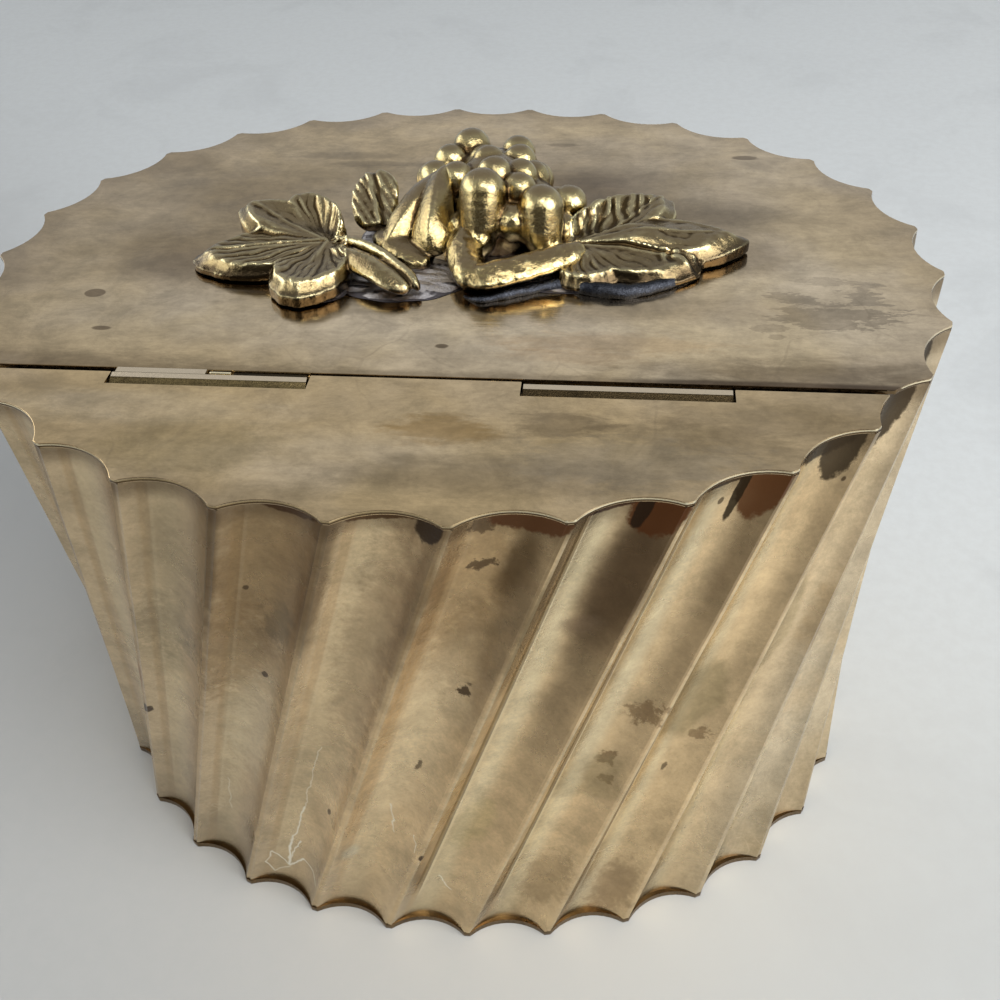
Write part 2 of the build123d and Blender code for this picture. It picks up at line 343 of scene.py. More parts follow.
DARK_TARNISH, PALE_BRASS = (0.13, 0.085, 0.045), (0.78, 0.66, 0.46)


def new_finish(name):
    """Metal: the material, its shader and the piece's own coordinates."""
    finish = bpy.data.materials.new(name)
    finish.use_nodes = True
    shader = finish.node_tree.nodes["Principled BSDF"]
    shader.inputs["Metallic"].default_value = 1.0
    return finish, shader, node("TexCoord", {}, tree=finish.node_tree, out="Object")


def tarnished(place, size, cover):
    return effect(tarnish, {"Vector": place, "Size": size, "Cover": cover})


def speckled(colour, patch, place, size, cover, amount):
    """Colour with small spots of the patch colour."""
    return over(colour, patch, effect(spots, {"Vector": place, "Size": size, "Cover": cover})["Mask"], amount)


def stained(position, centre, half, wobble, torn, soft):
    """Mask of one ragged patch."""
    return effect(stain, {"Position": position, "Centre": (*centre, 0), "Half": (*half, 1), "Wobble": wobble,
                          "Ragged": torn, "Soft": soft})["Mask"]


def marked(colour, marks, position, slow, torn_edge, torn_from):
    """Colour with marks laid over it, whose edges tear finely where they are ragged enough."""
    for centre, half, patch, amount, torn, soft in marks:
        wobble = torn_edge if torn > torn_from else slow
        colour = over(colour, patch, stained(position, centre, half, wobble, torn, soft), amount)
    return colour


def feed(shader, colour, rough, height=None, depth=0.0, strength=0.6):
    """Gives the shader its colour and roughness, and a relief that many metres deep."""
    links = shader.id_data.links
    links.new(colour, shader.inputs["Base Color"])
    links.new(rough, shader.inputs["Roughness"])
    if depth:
        bump = node("Bump", {"Height": height, "Distance": depth, "Strength": strength})
        links.new(bump, shader.inputs["Normal"])


# Marks seen on the wall, some of them painted shade and painted light: place in flutes and rise, half size,
# colour, amount, raggedness, softness
BROWN_CLOUD, RIDGE_SHADE_BROWN, BLACK_SPOT = (0.22, 0.13, 0.06), (0.17, 0.11, 0.055), (0.07, 0.04, 0.02)
GREEN_FILM, OLIVE_FILM, OCHRE = (0.50, 0.41, 0.19), (0.36, 0.28, 0.145), (0.45, 0.29, 0.135)
WALL_MARKS = (
    ((6.5, 0.86), (0.5, 0.16), (0.3, 0.19, 0.085), 0.8, 1.2, 0.4),
    ((6.25, 0.66), (0.42, 0.12), (0.31, 0.2, 0.095), 0.7, 2.8, 0.5),
    ((6.68, 0.75), (0.16, 0.04), (0.18, 0.13, 0.07), 0.6, 3.4, 0.6),
    ((5.35, 0.66), (0.38, 0.07), (0.28, 0.22, 0.13), 0.5, 3.5, 0.6),
    ((5.45, 0.86), (0.4, 0.14), (0.38, 0.29, 0.17), 0.5, 1.4, 0.5),
    ((4.93, 0.5), (0.06, 0.05), (0.3, 0.15, 0.08), 0.7, 2.0, 0.4),
    # painted shade: dark bands beside the ridges high up on the first flutes
    ((5.99, 0.9), (0.075, 0.15), RIDGE_SHADE_BROWN, 0.8, 0.8, 0.5),
    ((7.02, 0.88), (0.1, 0.17), RIDGE_SHADE_BROWN, 0.75, 0.8, 0.5),
    ((7.93, 0.87), (0.12, 0.16), (0.2, 0.135, 0.07), 0.75, 0.8, 0.5),
    ((7.68, 0.74), (0.26, 0.26), (0.27, 0.17, 0.09), 0.55, 2.4, 0.5),
    ((7.35, 0.4), (0.35, 0.12), (0.4, 0.31, 0.19), 0.4, 1.2, 0.5),
    ((8.4, 0.86), (0.33, 0.16), OCHRE, 0.75, 1.6, 0.4),
    ((8.74, 0.91), (0.14, 0.07), (0.11, 0.065, 0.028), 0.85, 0.8, 0.5),
    ((8.86, 0.78), (0.13, 0.13), (0.22, 0.15, 0.08), 0.7, 1.0, 0.5),
    ((8.6, 0.74), (0.26, 0.1), (0.33, 0.22, 0.11), 0.5, 2.8, 0.4),
    ((9.08, 0.8), (0.085, 0.15), (0.28, 0.2, 0.1), 0.75, 0.6, 0.3),
    ((9.75, 0.86), (0.26, 0.13), (0.12, 0.075, 0.04), 0.85, 0.7, 0.5),
    ((9.62, 0.775), (0.17, 0.018), (0.22, 0.15, 0.09), 0.7, 1.6, 0.5),
    ((9.76, 0.62), (0.16, 0.12), (0.32, 0.23, 0.13), 0.45, 1.0, 0.6),
    ((9.5, 0.3), (0.2, 0.06), GREEN_FILM, 0.4, 2.0, 0.3),
    ((10.85, 0.56), (0.15, 0.022), BROWN_CLOUD, 0.65, 5.5, 0.3),
    ((10.66, 0.45), (0.1, 0.012), BROWN_CLOUD, 0.75, 5.0, 0.3),
    ((10.76, 0.405), (0.07, 0.009), BROWN_CLOUD, 0.75, 5.0, 0.3),
    ((10.6, 0.405), (0.36, 0.05), OLIVE_FILM, 0.5, 1.8, 0.3),
    ((11.78, 0.455), (0.13, 0.01), BROWN_CLOUD, 0.65, 5.0, 0.3),
    ((11.5, 0.53), (0.34, 0.08), OLIVE_FILM, 0.65, 0.8, 0.2),
    ((12.45, 0.62), (0.25, 0.09), OLIVE_FILM, 0.5, 0.6, 0.15),
    ((10.7, 0.13), (0.25, 0.07), (0.33, 0.23, 0.12), 0.5, 2.4, 0.4),
    ((11.7, 0.07), (0.25, 0.07), (0.3, 0.2, 0.11), 0.55, 2.4, 0.4),
    ((13.1, 0.62), (0.3, 0.08), (0.44, 0.28, 0.12), 0.4, 2.0, 0.4),
    ((8.22, 0.185), (0.09, 0.022), (0.82, 0.74, 0.54), 0.7, 2.0, 0.4),
    # painted light: pale patches on the lit part of the flutes
    ((6.6, 0.47), (0.3, 0.13), (0.86, 0.72, 0.48), 0.45, 2.4, 0.5),
    ((7.55, 0.62), (0.2, 0.3), (0.8, 0.62, 0.37), 0.4, 1.6, 0.5),
    ((10.45, 0.6), (0.12, 0.35), (0.92, 0.78, 0.52), 0.4, 1.2, 0.5),
    ((8.45, 0.52), (0.3, 0.22), (0.92, 0.73, 0.46), 0.4, 1.6, 0.5),
    ((9.28, 0.55), (0.22, 0.28), (0.92, 0.76, 0.5), 0.4, 1.4, 0.5),
    ((5.02, 0.38), (0.085, 0.012), BLACK_SPOT, 0.95, 3.4, 0.2),
    ((6.6, 0.62), (0.035, 0.007), BLACK_SPOT, 0.9, 2.2, 0.2),
    ((6.32, 0.82), (0.03, 0.006), BLACK_SPOT, 0.8, 2.2, 0.2),
    ((8.72, 0.65), (0.055, 0.013), BLACK_SPOT, 0.9, 4.5, 0.3),
    ((8.585, 0.455), (0.022, 0.013), BLACK_SPOT, 0.75, 5.0, 0.3),
    ((9.03, 0.232), (0.03, 0.007), BLACK_SPOT, 0.95, 1.6, 0.2),
    ((8.44, 0.907), (0.11, 0.008), BLACK_SPOT, 0.8, 6.0, 0.3),
    ((8.34, 0.985), (0.11, 0.014), BLACK_SPOT, 0.7, 4.0, 0.2),
    ((7.74, 0.29), (0.025, 0.008), BLACK_SPOT, 0.8, 1.6, 0.2),
    ((11.6, 0.38), (0.03, 0.01), BLACK_SPOT, 0.7, 3.0, 0.2),
    ((10.52, 0.96), (0.025, 0.006), BLACK_SPOT, 0.8, 1.6, 0.2),
    ((11.9, 0.93), (0.025, 0.006), BLACK_SPOT, 0.8, 1.6, 0.2),
)
# Dark glossy patches just under the rim, painted reflection and shade of the overhanging plate: place, half
# size, colour
RIM_REFLECTIONS = (
    ((6.62, 1.0), (0.26, 0.016), (0.07, 0.035, 0.015)), ((7.45, 1.0), (0.3, 0.013), (0.09, 0.045, 0.018)),
    ((7.84, 0.995), (0.13, 0.032), (0.035, 0.02, 0.01)), ((8.7, 1.0), (0.36, 0.03), (0.11, 0.045, 0.018)),
    ((9.4, 1.0), (0.26, 0.012), (0.05, 0.02, 0.01)), ((9.8, 0.99), (0.22, 0.048), (0.11, 0.04, 0.014)),
    ((9.68, 0.985), (0.06, 0.035), (0.03, 0.018, 0.01)), ((10.45, 1.0), (0.22, 0.013), (0.05, 0.03, 0.015)),
    ((10.8, 0.985), (0.2, 0.055), (0.14, 0.055, 0.02)), ((10.64, 0.975), (0.045, 0.05), (0.03, 0.02, 0.01)),
    ((11.5, 1.0), (0.34, 0.03), (0.05, 0.036, 0.022)),
    ((11.76, 0.985), (0.16, 0.055), (0.055, 0.038, 0.022)),
    ((12.62, 0.985), (0.24, 0.07), (0.05, 0.034, 0.02)),
    ((13.66, 0.97), (0.14, 0.08), (0.06, 0.042, 0.026)), ((17.7, 0.985), (0.25, 0.04), (0.1, 0.05, 0.02)),
    ((21.7, 0.985), (0.2, 0.04), (0.12, 0.05, 0.02)), ((25.7, 0.985), (0.3, 0.04), (0.1, 0.05, 0.02)),
)
# Scratches near the foot: one point, the next, half width in millimetres, strength
SCRATCHES = (
    ((7.44, 0.46), (7.45, 0.27), 0.07, 0.45), ((7.45, 0.27), (7.41, 0.14), 0.11, 0.8),
    ((7.41, 0.14), (7.44, 0.055), 0.16, 1.0), ((7.5, 0.15), (7.44, 0.075), 0.09, 0.8),
    ((7.44, 0.055), (7.22, 0.105), 0.1, 0.8), ((7.22, 0.105), (7.17, 0.065), 0.1, 0.8),
    ((7.17, 0.065), (7.3, 0.022), 0.1, 0.8), ((7.3, 0.022), (7.44, 0.05), 0.12, 0.6),
    ((7.44, 0.055), (7.6, 0.098), 0.15, 0.9), ((7.6, 0.098), (7.74, 0.085), 0.1, 0.8),
    ((7.74, 0.085), (7.9, 0.062), 0.1, 0.7), ((8.48, 0.335), (8.6, 0.25), 0.08, 0.6),
    ((8.84, 0.275), (8.93, 0.24), 0.08, 0.7), ((9.4, 0.13), (9.58, 0.085), 0.09, 0.7),
    ((6.34, 0.27), (6.42, 0.16), 0.07, 0.35),
)
wall_brass, shader, place = new_finish("wall_brass")
on_strip = node("SeparateXYZ", {0: node("UVMap", {}, tree=shader.id_data)}).node.outputs
rise = on_strip["Y"]
flute_count = times(on_strip["X"], float(FLUTES))
on_wall = node("CombineXYZ", {0: flute_count, 1: rise})
clouds, small_clouds = tarnished(place, 38.0, 0.55), tarnished(place, 130.0, 0.5)
wobble, fine_wobble = mottled(place, 240.0, 7.0, 0.6), mottled(place, 620.0, 5.0, 0.7)
phase = maths("FRACT", flute_count)
drift = times(minus(mottled(place, 28.0, 3.0), 0.5), 0.28)
loose_phase = plus(phase, drift)
# painted light: the lit side is painted golden, the ends of the box are greyer, and the painted light and shade
# across each flute is weaker on the first flutes and the far ones
calm = times(ramped(flute_count, 8.2, 9.6, 0.42, 1.0), ramped(flute_count, 19.0, 15.0, 0.6, 1.0))
sunny = times(ramped(flute_count, 6.4, 8.2), ramped(flute_count, 25.0, 19.0))
lighter = blended(sunny, (0.62, 0.46, 0.27), (0.85, 0.63, 0.36))
lighter = blended(band(flute_count, 12.0, 13.5, 17.0, 19.0), lighter, (0.72, 0.60, 0.42))
colour = over(lighter, blended(sunny, (0.50, 0.375, 0.22), (0.66, 0.49, 0.285)), clouds["Cloud"], 0.5)
# painted light: a cream band across the lit part of each hollow, and a pale one on the flank beside the ridge
colour = over(colour, (0.88, 0.75, 0.48), band(loose_phase, 0.24, 0.29, 0.42, 0.62), times(calm, 0.85))
colour = over(colour, (0.82, 0.71, 0.50), band(phase, 0.0, 0.04, 0.15, 0.185), times(calm, 0.6))
# painted shade: every flute is browner and darker on its far flank, most of all high up under the plate
shade = band(minus(loose_phase, ramped(flute_count, 9.6, 11.2, 0.0, 0.13)), 0.52, 0.76, 0.99, 1.04)
high_up = plus(0.10, times(ramped(plus(rise, drift), 0.12, 0.92), 0.78))
shade = times(times(shade, times(calm, high_up)), ramped(flute_count, 9.9, 12.6, 1.0, 0.3))
colour = blended(shade, colour, blended(ramped(rise, 0.45, 1.0), (0.34, 0.23, 0.12), (0.12, 0.07, 0.03)))
colour = over(colour, (0.44, 0.35, 0.22), ramped(rise, 0.32, 0.05), 0.45)
colour = over(colour, (0.36, 0.27, 0.15), small_clouds["Cloud"], 0.28)
colour = marked(colour, WALL_MARKS, on_wall, wobble, fine_wobble, 2.0)
colour = over(colour, DARK_TARNISH, small_clouds["Grain"], 0.14)
smudges = ramped(mottled(place, 190.0, 9.0, 0.74, 0.15), 0.28, 0.72, 0.80, 1.17)
colour = speckled(blended(1.0, colour, smudges, "MULTIPLY"), DARK_TARNISH, place, 420.0, 0.45, 0.8)
on_sheet = vectors("MULTIPLY", on_wall, (FLUTE_PITCH, WALL_TOP - WALL_FOOT, 0))
on_sheet = vectors("ADD", on_sheet, vectors("MULTIPLY", mottled(place, 420.0, out="Color"), (1.2, 1.2, 0)))
for start, end, wide, amount in SCRATCHES:
    start, end = ((at[0] * FLUTE_PITCH + 0.6, at[1] * (WALL_TOP - WALL_FOOT) + 0.6, 0) for at in (start, end))
    line = effect(scratch, {"Position": on_sheet, "Width": wide, "Start": start, "End": end})["Mask"]
    colour = over(colour, (0.98, 0.93, 0.78), line, amount)
squiggles = effect(hairlines, {"Vector": place, "Size": 130.0, "Cover": 0.55})["Mask"]
colour = over(colour, PALE_BRASS, times(squiggles, ramped(rise, 0.25, 0.1)), 0.7)
# the tool line beside each ridge: olive, then a dark edge of painted shade and a bright edge of painted
# highlight
lined = times(ramped(rise, 0.05, 0.12), ramped(calm, 0.5, 0.95, 0.12, 1.0))
for edges, amount, patch in (((0.178, 0.188, 0.232, 0.242), 0.75, (0.30, 0.215, 0.095)),
                             ((0.232, 0.240, 0.250, 0.258), 0.65, (0.14, 0.09, 0.04)),
                             ((0.255, 0.262, 0.275, 0.30), 0.5, (0.92, 0.80, 0.55))):
    colour = over(colour, patch, times(band(phase, *edges), lined), amount)
# painted shadow just under the rim, where the plate overhangs the wall
colour = over(colour, (0.10, 0.06, 0.03), ramped(plus(rise, times(drift, 0.1)), 0.955, 0.99), 0.6)
gloss = ramped(clouds["Cloud"], 0.0, 1.0, 0.27, 0.40)
# painted reflection and shade of the plate, as dark glossy patches under the rim
for centre, half, patch in RIM_REFLECTIONS:
    there = stained(on_wall, centre, half, fine_wobble, 0.75, 0.10)
    colour = over(colour, patch, there, 0.93)
    gloss = node("Mix", {0: there, 2: gloss, 3: 0.08}, data_type="FLOAT")
brushed = effect(brushing, {"Vector": place, "Stretch": (250.0, 250.0, 3500.0)})["Height"]
feed(shader, colour, gloss, plus(brushed, times(small_clouds["Grain"], 0.5)), 0.00003)

wall_inside, shader, place = new_finish("wall_inside")
film = tarnished(place, 45.0, 0.6)
colour = over(blended(times(film["Cloud"], 0.8), (0.46, 0.35, 0.20), (0.28, 0.195, 0.105)), DARK_TARNISH,
              film["Grain"], 0.2)
feed(shader, colour, ramped(film["Cloud"], 0.0, 1.0, 0.36, 0.52), film["Grain"], 0.00004)
for metal in (wall_brass, wall_inside):
    wall.data.materials.append(metal)
for face in wall.data.polygons:
    face.material_index = 1 if face.normal.xy.dot(face.center.xy) < -0.2 * face.center.xy.length else 0
rides(wall, "box", "body_wall")

# The base, the fixed rear plate and the lid are sawn from flat sheet and filed to the scallops.
# The base and the rear plate are soldered to the wall; the filed edges are rubbed bright. Along the
# top of each rim side runs a painted highlight, with painted shade below it.
EDGE_ROUNDING, BASE_ROUNDING = 0.18, 0.0225
RIM_LINE = (83.74, 83.82)  # heights between which the painted highlight along the rim begins, with painted shade below
GAP_Y, GAP_HALF_LENGTH = (25.5, 30.3), 59.0
PLATES = {"base_plate": ("scalloped_base", "box"), "rear_plate": ("fixed_rear_plate", "box"),
          "lid_plate": ("scalloped_lid", "lid")}
NORMALS_CLEARED = (bpy.ops.mesh.customdata_custom_splitnormals_clear, {})


def bevelled_copy(cad_node, name, rounding, material_of_edges=0):
    """Copy of a CAD node with its flat faces made whole and its edges filed round."""
    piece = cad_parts[cad_node].copy()
    piece.data = piece.data.copy()
    piece.parent = None
    piece.name = piece.data.name = name
    for key in [key for key in piece.keys() if key.startswith("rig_")]:
        del piece[key]
    bpy.context.scene.collection.objects.link(piece)
    piece.data.materials.clear()
    in_edit_mode(piece, NORMALS_CLEARED, (bpy.ops.mesh.remove_doubles, {"threshold": 2e-6}),
                 (bpy.ops.mesh.dissolve_limited, {"angle_limit": math.radians(1)}))
    with_modifier(piece, "BEVEL", width=rounding * MM, segments=2, limit_method="ANGLE",
                  angle_limit=math.radians(40), material=material_of_edges)
    smooth(piece, 30)
    with_modifier(piece, "WEIGHTED_NORMAL", keep_sharp=True)
    return piece


def plain_finish(name, size, cover, clouded, clean, clouds, rough, depth=0.0, strength=0.5, glints=None):
    """Evenly tarnished metal; glints are the size, cover and amount of its specks of pale brass, which are
    painted glints.
    """
    finish, shader, place = new_finish(name)
    film = tarnished(place, size, cover)
    colour = over(clean, clouds, film["Cloud"], clouded)
    if glints:
        colour = speckled(colour, PALE_BRASS, place, *glints)
    feed(shader, colour, ramped(film["Grain"], 0.0, 1.0, *rough), film["Grain"], depth, strength)
    return finish


def sheet_finish(name, light, marks, rim_dark):
    """Flat aged sheet: satin, brushed along X, clouded, darker at the rim, with this plate's own marks."""
    finish, shader, place = new_finish(name)
    drawn, less_drawn = stretched(place, 0.4, 1.0, 1.0), stretched(place, 0.75, 0.9, 1.0)
    clouds, smears = tarnished(drawn, 34.0, 0.55), tarnished(drawn, 120.0, 0.5)
    ragged = mottled(stretched(place, 0.3, 1.0, 1.0), 620.0, 5.0, 0.7, 0.4)
    slow = mottled(drawn, 45.0, 4.0)
    colour = over(light, [0.66 * part for part in light], clouds["Cloud"], 0.5)
    colour = over(colour, [0.5 * part for part in light], smears["Cloud"], 0.34)
    on_plate = vectors("MULTIPLY", place, (1000, 1000, 0))
    outward = vectors("LENGTH", vectors("DIVIDE", on_plate, (HALF_LENGTH, HALF_WIDTH, 1)), out="Value")
    near_rim = ramped(plus(outward, times(minus(slow, 0.5), 0.7)), 0.76, 1.02)
    colour = over(colour, (0.27, 0.20, 0.13), near_rim, rim_dark)
    colour = marked(colour, marks, on_plate, slow, ragged, 1.2)
    streaks = effect(brushing, {"Vector": place, "Stretch": (90.0, 1500.0, 1500.0)})["Height"]
    colour = blended(ramped(streaks, 0.35, 0.75, 0.0, 0.08), colour, (0.24, 0.18, 0.12))
    tints = ramped(mottled(less_drawn, 75.0, 6.0, distortion=0.3), 0.35, 0.65)
    colour = blended(tints, colour, blended(1.0, colour, (1.0, 0.965, 0.86), "MULTIPLY"))
    smudges = ramped(mottled(less_drawn, 190.0, 10.0, 0.76, 0.25), 0.28, 0.72, 0.72, 1.24)
    colour = over(blended(1.0, colour, smudges, "MULTIPLY"), DARK_TARNISH, smears["Grain"], 0.12)
    colour = speckled(colour, DARK_TARNISH, place, 330.0, 0.42, 0.6)
    hairs = effect(hairlines, {"Vector": place, "Size": 80.0, "Curl": 0.007, "Cover": 0.62})["Mask"]
    colour = over(colour, (0.20, 0.15, 0.10), hairs, 0.3)
    # painted shade on the base plate's top near its edge, at the foot of the wall
    if name == "base_brass":
        colour = blended(ramped(outward, 0.87, 0.93), colour, (0.07, 0.045, 0.022))
    feed(shader, colour, ramped(smears["Cloud"], 0.0, 1.0, 0.13, 0.24), streaks, 0.00002, 0.5)
    return finish


BROWN, ORANGE = (0.20, 0.145, 0.09), (0.50, 0.31, 0.14)
GREY_BROWN, PALE = (0.20, 0.155, 0.105), (0.80, 0.67, 0.49)
# Marks seen on the plates, in millimetres: centre, half size, colour, amount, raggedness, softness
LID_MARKS = (
    # the first mark, a brown cloud round the ornament, is its painted shadow and reflection
    ((-2, -12), (44, 24), BROWN, 0.42, 1.2, 0.35), ((-32, -19), (12, 8), BROWN, 0.45, 1.0, 0.5),
    ((37, -20), (10, 8), BROWN, 0.35, 1.0, 0.5), ((40, -1), (8, 7), BROWN, 0.35, 1.0, 0.5),
    ((-20, -30), (16, 8), BROWN, 0.35, 1.0, 0.5), ((8, 14), (34, 6), PALE, 0.45, 1.1, 0.5),
    ((-24, 16), (30, 7), PALE, 0.55, 1.1, 0.5), ((-36, 2), (12, 7), PALE, 0.5, 1.2, 0.5),
    ((40, 14), (14, 8), PALE, 0.35, 1.2, 0.5), ((-22, 18.6), (12, 2.2), ORANGE, 0.6, 2.4, 0.5),
    ((-18, 21.5), (8, 1.5), ORANGE, 0.5, 2.4, 0.5), ((-48.6, 11.3), (6.2, 3.0), GREY_BROWN, 0.95, 4.6, 0.1),
    ((-44.4, 8.0), (3.0, 2.2), GREY_BROWN, 0.9, 4.2, 0.08),
    ((-53.0, 6.4), (2.2, 3.0), GREY_BROWN, 0.85, 6.5, 0.08),
    ((-49.5, 3.0), (4.0, 0.8), GREY_BROWN, 0.6, 5.0, 0.08),
    ((-40.2, 14.4), (2.2, 0.8), GREY_BROWN, 0.7, 3.4, 0.08),
    ((-41.0, 16.2), (1.0, 0.5), GREY_BROWN, 0.7, 3.4, 0.08),
    ((-36, 2), (30, 42), (0.9, 0.745, 0.54), 0.5, 0.6, 0.9),
    # painted shadow and reflection of the ornament beside its grapes, leaves and stem
    ((-17, -22), (10, 7), (0.12, 0.08, 0.05), 0.7, 1.0, 0.7),
    ((-33, -14), (11, 5), (0.14, 0.1, 0.06), 0.6, 1.0, 0.7),
    ((-12, 10.5), (27, 3.2), (0.24, 0.17, 0.1), 0.45, 1.2, 0.7),
    ((-38, -3), (6, 4), (0.16, 0.11, 0.07), 0.5, 1.2, 0.6),
    ((33, 2), (9, 5), (0.2, 0.14, 0.09), 0.4, 1.2, 0.6),
    ((46.1, 9.8), (1.35, 1.0), (0.22, 0.16, 0.1), 0.9, 0.5, 0.08),
    ((42.1, 18.1), (1.3, 0.5), BROWN, 0.9, 0.9, 0.2), ((-1.2, 20.1), (0.8, 0.5), BROWN, 0.9, 1.6, 0.2),
    ((-40.4, -33.7), (1.8, 0.7), BROWN, 0.8, 1.6, 0.2), ((-12, -37.8), (2.5, 0.6), BROWN, 0.5, 1.6, 0.3),
    ((-44, 23.9), (17, 2.4), (0.15, 0.105, 0.065), 0.6, 2.6, 0.8),
    ((45, 25.4), (20, 2.0), BROWN, 0.5, 2.4, 0.6), ((42, -8), (22, 30), BROWN, 0.22, 1.2, 0.8),
    ((0, 26.4), (64, 1.0), BROWN, 0.5, 2.2, 0.7),
    ((-42, 26.2), (20, 0.7), (0.09, 0.06, 0.04), 0.8, 1.2, 0.4),
    ((22, -33), (9, 1.2), GREY_BROWN, 0.5, 2.4, 0.4), ((16, -30), (7, 1.0), GREY_BROWN, 0.5, 2.4, 0.4),
)
REAR_MARKS = (
    ((-3.3, 36.6), (5.5, 2.6), (0.42, 0.27, 0.11), 0.75, 2.4, 0.4),
    ((-16.3, 34.9), (5, 2.2), BROWN, 0.55, 2.6, 0.4), ((-31.3, 36.7), (9, 3), BROWN, 0.25, 2.4, 0.4),
    ((8, 42), (22, 4), PALE, 0.3, 1.2, 0.5), ((-10, 44), (16, 3), BROWN, 0.45, 1.4, 0.5),
    ((24, 41), (10, 5), (0.42, 0.32, 0.17), 0.5, 1.4, 0.5), ((-40, 33), (14, 3), BROWN, 0.3, 2.4, 0.6),
    ((34, 34), (16, 3.0), PALE, 0.35, 1.3, 0.5), ((-24, 41), (12, 4), (0.4, 0.33, 0.24), 0.5, 2.2, 0.3),
)
worn_edge = plain_finish("worn_edge", 160.0, 0.45, 0.7, (0.92, 0.82, 0.56), (0.62, 0.48, 0.26), (0.16, 0.3))
# painted shade: dark faces for the base plate's edges and for the sides of the hinge gap
shaded_edge = plain_finish("shaded_edge", 120.0, 0.5, 1.0, (0.17, 0.115, 0.06), (0.09, 0.058, 0.03),
                          (0.25, 0.4))
# the rim side is bright along its top, most where hands lift the lid, as rubbed wear and painted highlight;
# below its lower corner it is painted shade
rim_bright, shader, place = new_finish("rim_bright")
on_rim = node("SeparateXYZ", {0: place}).node.outputs
rubbed_and_lit = maths("MAXIMUM", ramped(on_rim["X"], 0.024, 0.045), ramped(on_rim["X"], 0.002, -0.022))
colour = blended(minus(1.0, times(rubbed_and_lit, 0.75)), (0.95, 0.86, 0.62), (0.40, 0.30, 0.16))
colour = blended(ramped(on_rim["Z"], RIM_LINE[0] * MM, RIM_LINE[1] * MM), (0.10, 0.062, 0.03), colour)
rub = tarnished(place, 90.0, 0.5)
feed(shader, over(colour, (0.20, 0.14, 0.07), rub["Cloud"], 0.4), ramped(rub["Grain"], 0.0, 1.0, 0.24, 0.38))
finishes = {"base_plate": sheet_finish("base_brass", (0.52, 0.41, 0.26), (), 0.5),
            "rear_plate": sheet_finish("rear_brass", (0.70, 0.535, 0.325), REAR_MARKS, 0.25),
            "lid_plate": sheet_finish("lid_brass", (0.70, 0.555, 0.365), LID_MARKS, 0.6)}
for cad_node, (name, body) in PLATES.items():
    on_base = cad_node == "base_plate"
    plate = bevelled_copy(cad_node, name, BASE_ROUNDING if on_base else EDGE_ROUNDING, material_of_edges=1)
    edges = (shaded_edge, shaded_edge) if on_base else (worn_edge, rim_bright)
    for metal in (finishes[cad_node], *edges, shaded_edge):
        plate.data.materials.append(metal)
    # side faces by the hinge gap take the painted-shade edge
    for face in plate.data.polygons:
        if abs(face.normal.z) < 0.3:
            by_gap = GAP_Y[0] < face.center.y / MM < GAP_Y[1] and abs(face.center.x / MM) < GAP_HALF_LENGTH
            face.material_index = 3 if by_gap else 2
    rides(plate, body, cad_node)

# Each hinge is a drawn tube on a leaf under the lid, a wire pin through it, and a bracket with
# two ears under the rear plate. The tube is filed flush with the top after soldering, so it
# shows a light flat above and dark tarnish on the round behind.
# the pale specks on the dark hinge metals are painted glints
hinge_dark = plain_finish("hinge_dark", 220.0, 0.6, 0.7, (0.042, 0.03, 0.015), (0.018, 0.013, 0.007),
                          (0.26, 0.42), 0.00004, glints=(300.0, 0.25, 0.8))
filed_flat = plain_finish("filed_flat", 150.0, 0.4, 0.5, (0.70, 0.585, 0.43), (0.50, 0.40, 0.27),
                          (0.22, 0.34))
hinge_olive = plain_finish("hinge_olive", 220.0, 0.6, 0.7, (0.12, 0.09, 0.042), (0.055, 0.04, 0.02),
                           (0.26, 0.42), 0.00003, glints=(420.0, 0.3, 0.4))
HINGE_PIECES = {"hinge_knuckle": ("hinge_tube", "lid", "hinge_brass", 0.08),
                "hinge_bracket": ("hinge_ears", "box", "hinge_brass", 0.08),
                "hinge_pin": ("hinge_wire", "box", "pin_brass", 0.05)}
TUBE_TOP, FLAT_REAR_Y, FLANK_SLOPE, BARREL_REAR_Y = 84.1, 28.25, 0.62, 28.79
FILED_FROM = 83.9  # height from which the tube was filed
# the right hinge only: solder on the tube, a loose end of wire and a dark bar in the groove that is painted
# shade, as low and high x, y, z
FILL = ((25.8, 37.0), (26.3, 27.5), (83.5, 84.1))
WIRE = ((22.9, 25.5), (26.70, 27.10), (83.5, 84.06))
GROOVE_SHADE = ((13.8, 22.7), (26.5, 27.1), (83.2, 83.85))
BAR_ROUNDING = 0.12
BESIDE_Y, BESIDE_Z = 27.2, 83.15  # faces of the wire and the groove lie before and above these


def bar(*sizes):
    """Bar between a low and a high x, y and z, with rounded edges."""
    bpy.ops.object.select_all(action="DESELECT")
    bpy.ops.mesh.primitive_cube_add(size=1)
    made = bpy.context.object
    for vertex in made.data.vertices:
        for axis, (low, high) in enumerate(sizes):
            vertex.co[axis] = (low if vertex.co[axis] < 0 else high) * MM
    with_modifier(made, "BEVEL", width=BAR_ROUNDING * MM, segments=2)
    return made


